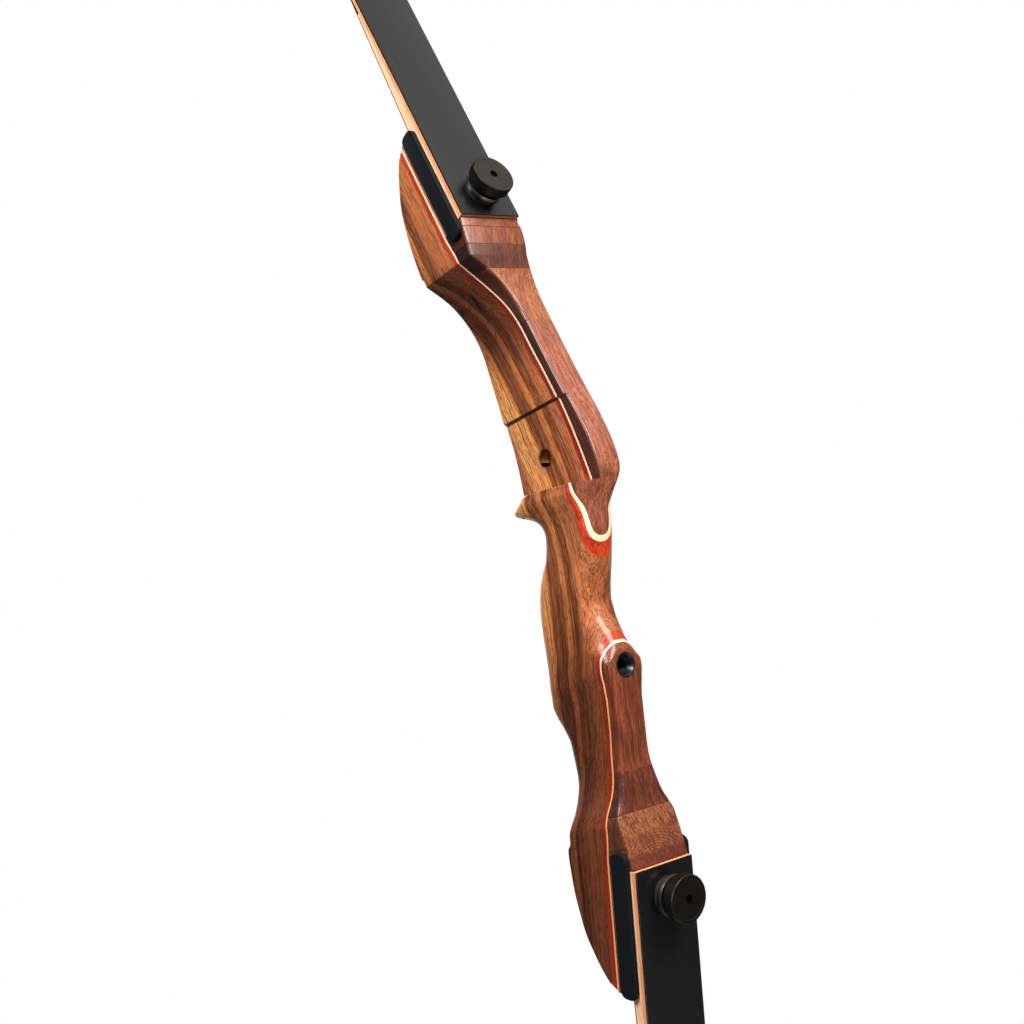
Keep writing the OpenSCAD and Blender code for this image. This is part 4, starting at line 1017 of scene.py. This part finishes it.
def roundedRing(ring, base):
    # profile of a flat ring round the bolt, with its outer edges softened
    bore, radius = bolt["radius"] + ring["play"], ring["radius"]
    top, ease, lip = base + ring["thick"], ring["round"], ring["round"] / 4
    return [(bore, base), (radius - ease, base), (radius - lip, base + lip), (radius, base + ease),
            (radius, top - ease), (radius - lip, top - lip), (radius - ease, top), (bore, top), (bore, base)]


rodEnd, rodTop = insertTop - bolt["grip"], boltTop - bolt["sunk"]
threadStart = rodEnd + bolt["point"]
rod = [(0, rodEnd), (bolt["radius"] - bolt["point"], rodEnd), (bolt["radius"], threadStart)]
rod += threaded(threadStart, collarLow - bolt["plain"], bolt["radius"], bolt["pitch"], bolt["threadDepth"])
rod += [(bolt["radius"], collarLow), (bolt["radius"], rodTop), (0, rodTop)]
insertLow, insertBore = insertTop - insertLength, bolt["radius"] + insert["play"]
sleeve = [(insertBore, insertLow), (insert["radius"], insertLow),
          (insert["radius"], insertTop - insert["bevel"]), (insert["radius"] - insert["bevel"], insertTop),
          (bolt["radius"] + insert["mouthWide"], insertTop), (insertBore, insertTop - insert["mouth"]),
          (insertBore, insertLow)]
pinLow, pinTop = padAtPin - pin["deep"], padAtPin + pin["height"]
peg = [(0, pinLow), (pin["radius"], pinLow), (pin["radius"], pinTop - pin["nose"][1]),
       (pin["radius"] - pin["nose"][0], pinTop), (0, pinTop)]
for end, word in ((1, "upper"), (-1, "lower")):
    atBolt, atPin = padPlace(end, bolt["fromButt"], 0), padPlace(end, pin["fromButt"], 0)
    body = word + "_limb_bolt"
    addPiece(word + "LimbKnob", knurledKnob(end), gunmetal, body, 20)
    addPiece(word + "KnobSocket", hexSocket(end), gunmetal, body, 30, standsFor=False)
    addPiece(word + "LimbBolt", turned(rod, atBolt), boltSteel, body, 50)
    body = word + "_thrust_bearing"
    ring = turned(roundedRing(collar, collarLow), atBolt)
    addPiece(word + "ThrustCollar", ring, satinSteel, body, 50)
    ring = turned(roundedRing(washer, riser["gap"]), atBolt)
    addPiece(word + "LimbWasher", ring, nylon, body, 50)
    addPiece(word + "LimbInsert", turned(sleeve, atBolt), brass, "riser")
    addPiece(word + "LocatingPin", turned(peg, atPin, 64), boltSteel, "riser")
print("limb bolts ready")

# Bushings
flange, top, bore = stabilizer["flange"], stabilizer["top"], stabilizer["thread"]
dish = [(bore, -stabilizer["length"]), (stabilizer["radius"], -stabilizer["length"]),
        (stabilizer["radius"], -stabilizer["seat"]), (flange, -stabilizer["seat"])]
dish += [(flange - inward, top - down) for inward, down in stabilizer["lip"]]
dish += [(bore + outward, top - down) for outward, down in stabilizer["throat"]]
dish += threaded(-stabilizer["length"], top - stabilizer["threadTop"], bore + stabilizer["threadDepth"],
                 stabilizer["pitch"], stabilizer["threadDepth"])[::-1]
dish.append((bore, -stabilizer["length"]))
addPiece("stabilizerBushing", turned(dish, stabPlace), blackGloss, "riser")


def bushing(radius, bore, length):
    bevel, mouth = sights["bevel"], sights["mouth"]
    return [(bore, length), (radius, length), (radius, bevel), (radius - bevel, 0), (bore + mouth, 0),
            (bore, mouth), (bore, length)]


farSide = -riser["windowBack"]
plungerShape = turned(bushing(sights["plungerRadius"], bore, sights["plungerLength"]),
                      sidePlace(sights["plungerY"], sights["plungerZ"], farSide))
addPiece("plungerBushing", plungerShape, brass, "riser")
sightPair = bmesh.new()
for height in sightHeights:
    single = turned(bushing(sights["sightRadius"], sights["sightThread"], sights["sightLength"]),
                    sidePlace(sights["plungerY"], height, farSide), 64)
    singleMesh = bpy.data.meshes.new("sight bushing")
    single.to_mesh(singleMesh)
    single.free()
    sightPair.from_mesh(singleMesh)
    bpy.data.meshes.remove(singleMesh)
addPiece("sightBushings", sightPair, brass, "riser")
print("bushings ready")

# Floor just below the lower limb
ground = {"radius": 450, "drop": 6}
disc = bmesh.new()
bmesh.ops.create_circle(disc, cap_ends=True, segments=96, radius=ground["radius"] * mm,
                        matrix=Matrix.Translation((0, 0, cadBox[0][2] - ground["drop"] * mm)))
floorMesh = bpy.data.meshes.new("floor")
disc.to_mesh(floorMesh)
disc.free()
paper, add, place = newMaterial("white paper floor")  # plain matt white
tone = add("TexNoise", {"Vector": place, "Scale": 0.05})
tone = add("Mix", {0: tone, 6: "#e9e9e9", 7: "#ececec"}, data_type="RGBA")
add("OutputMaterial", {"Surface": add("BsdfPrincipled", {"Base Color": tone, "Roughness": 0.9})})
floorMesh.materials.append(paper)
floor = bpy.data.objects.new("floor", floorMesh)
scene.collection.objects.link(floor)
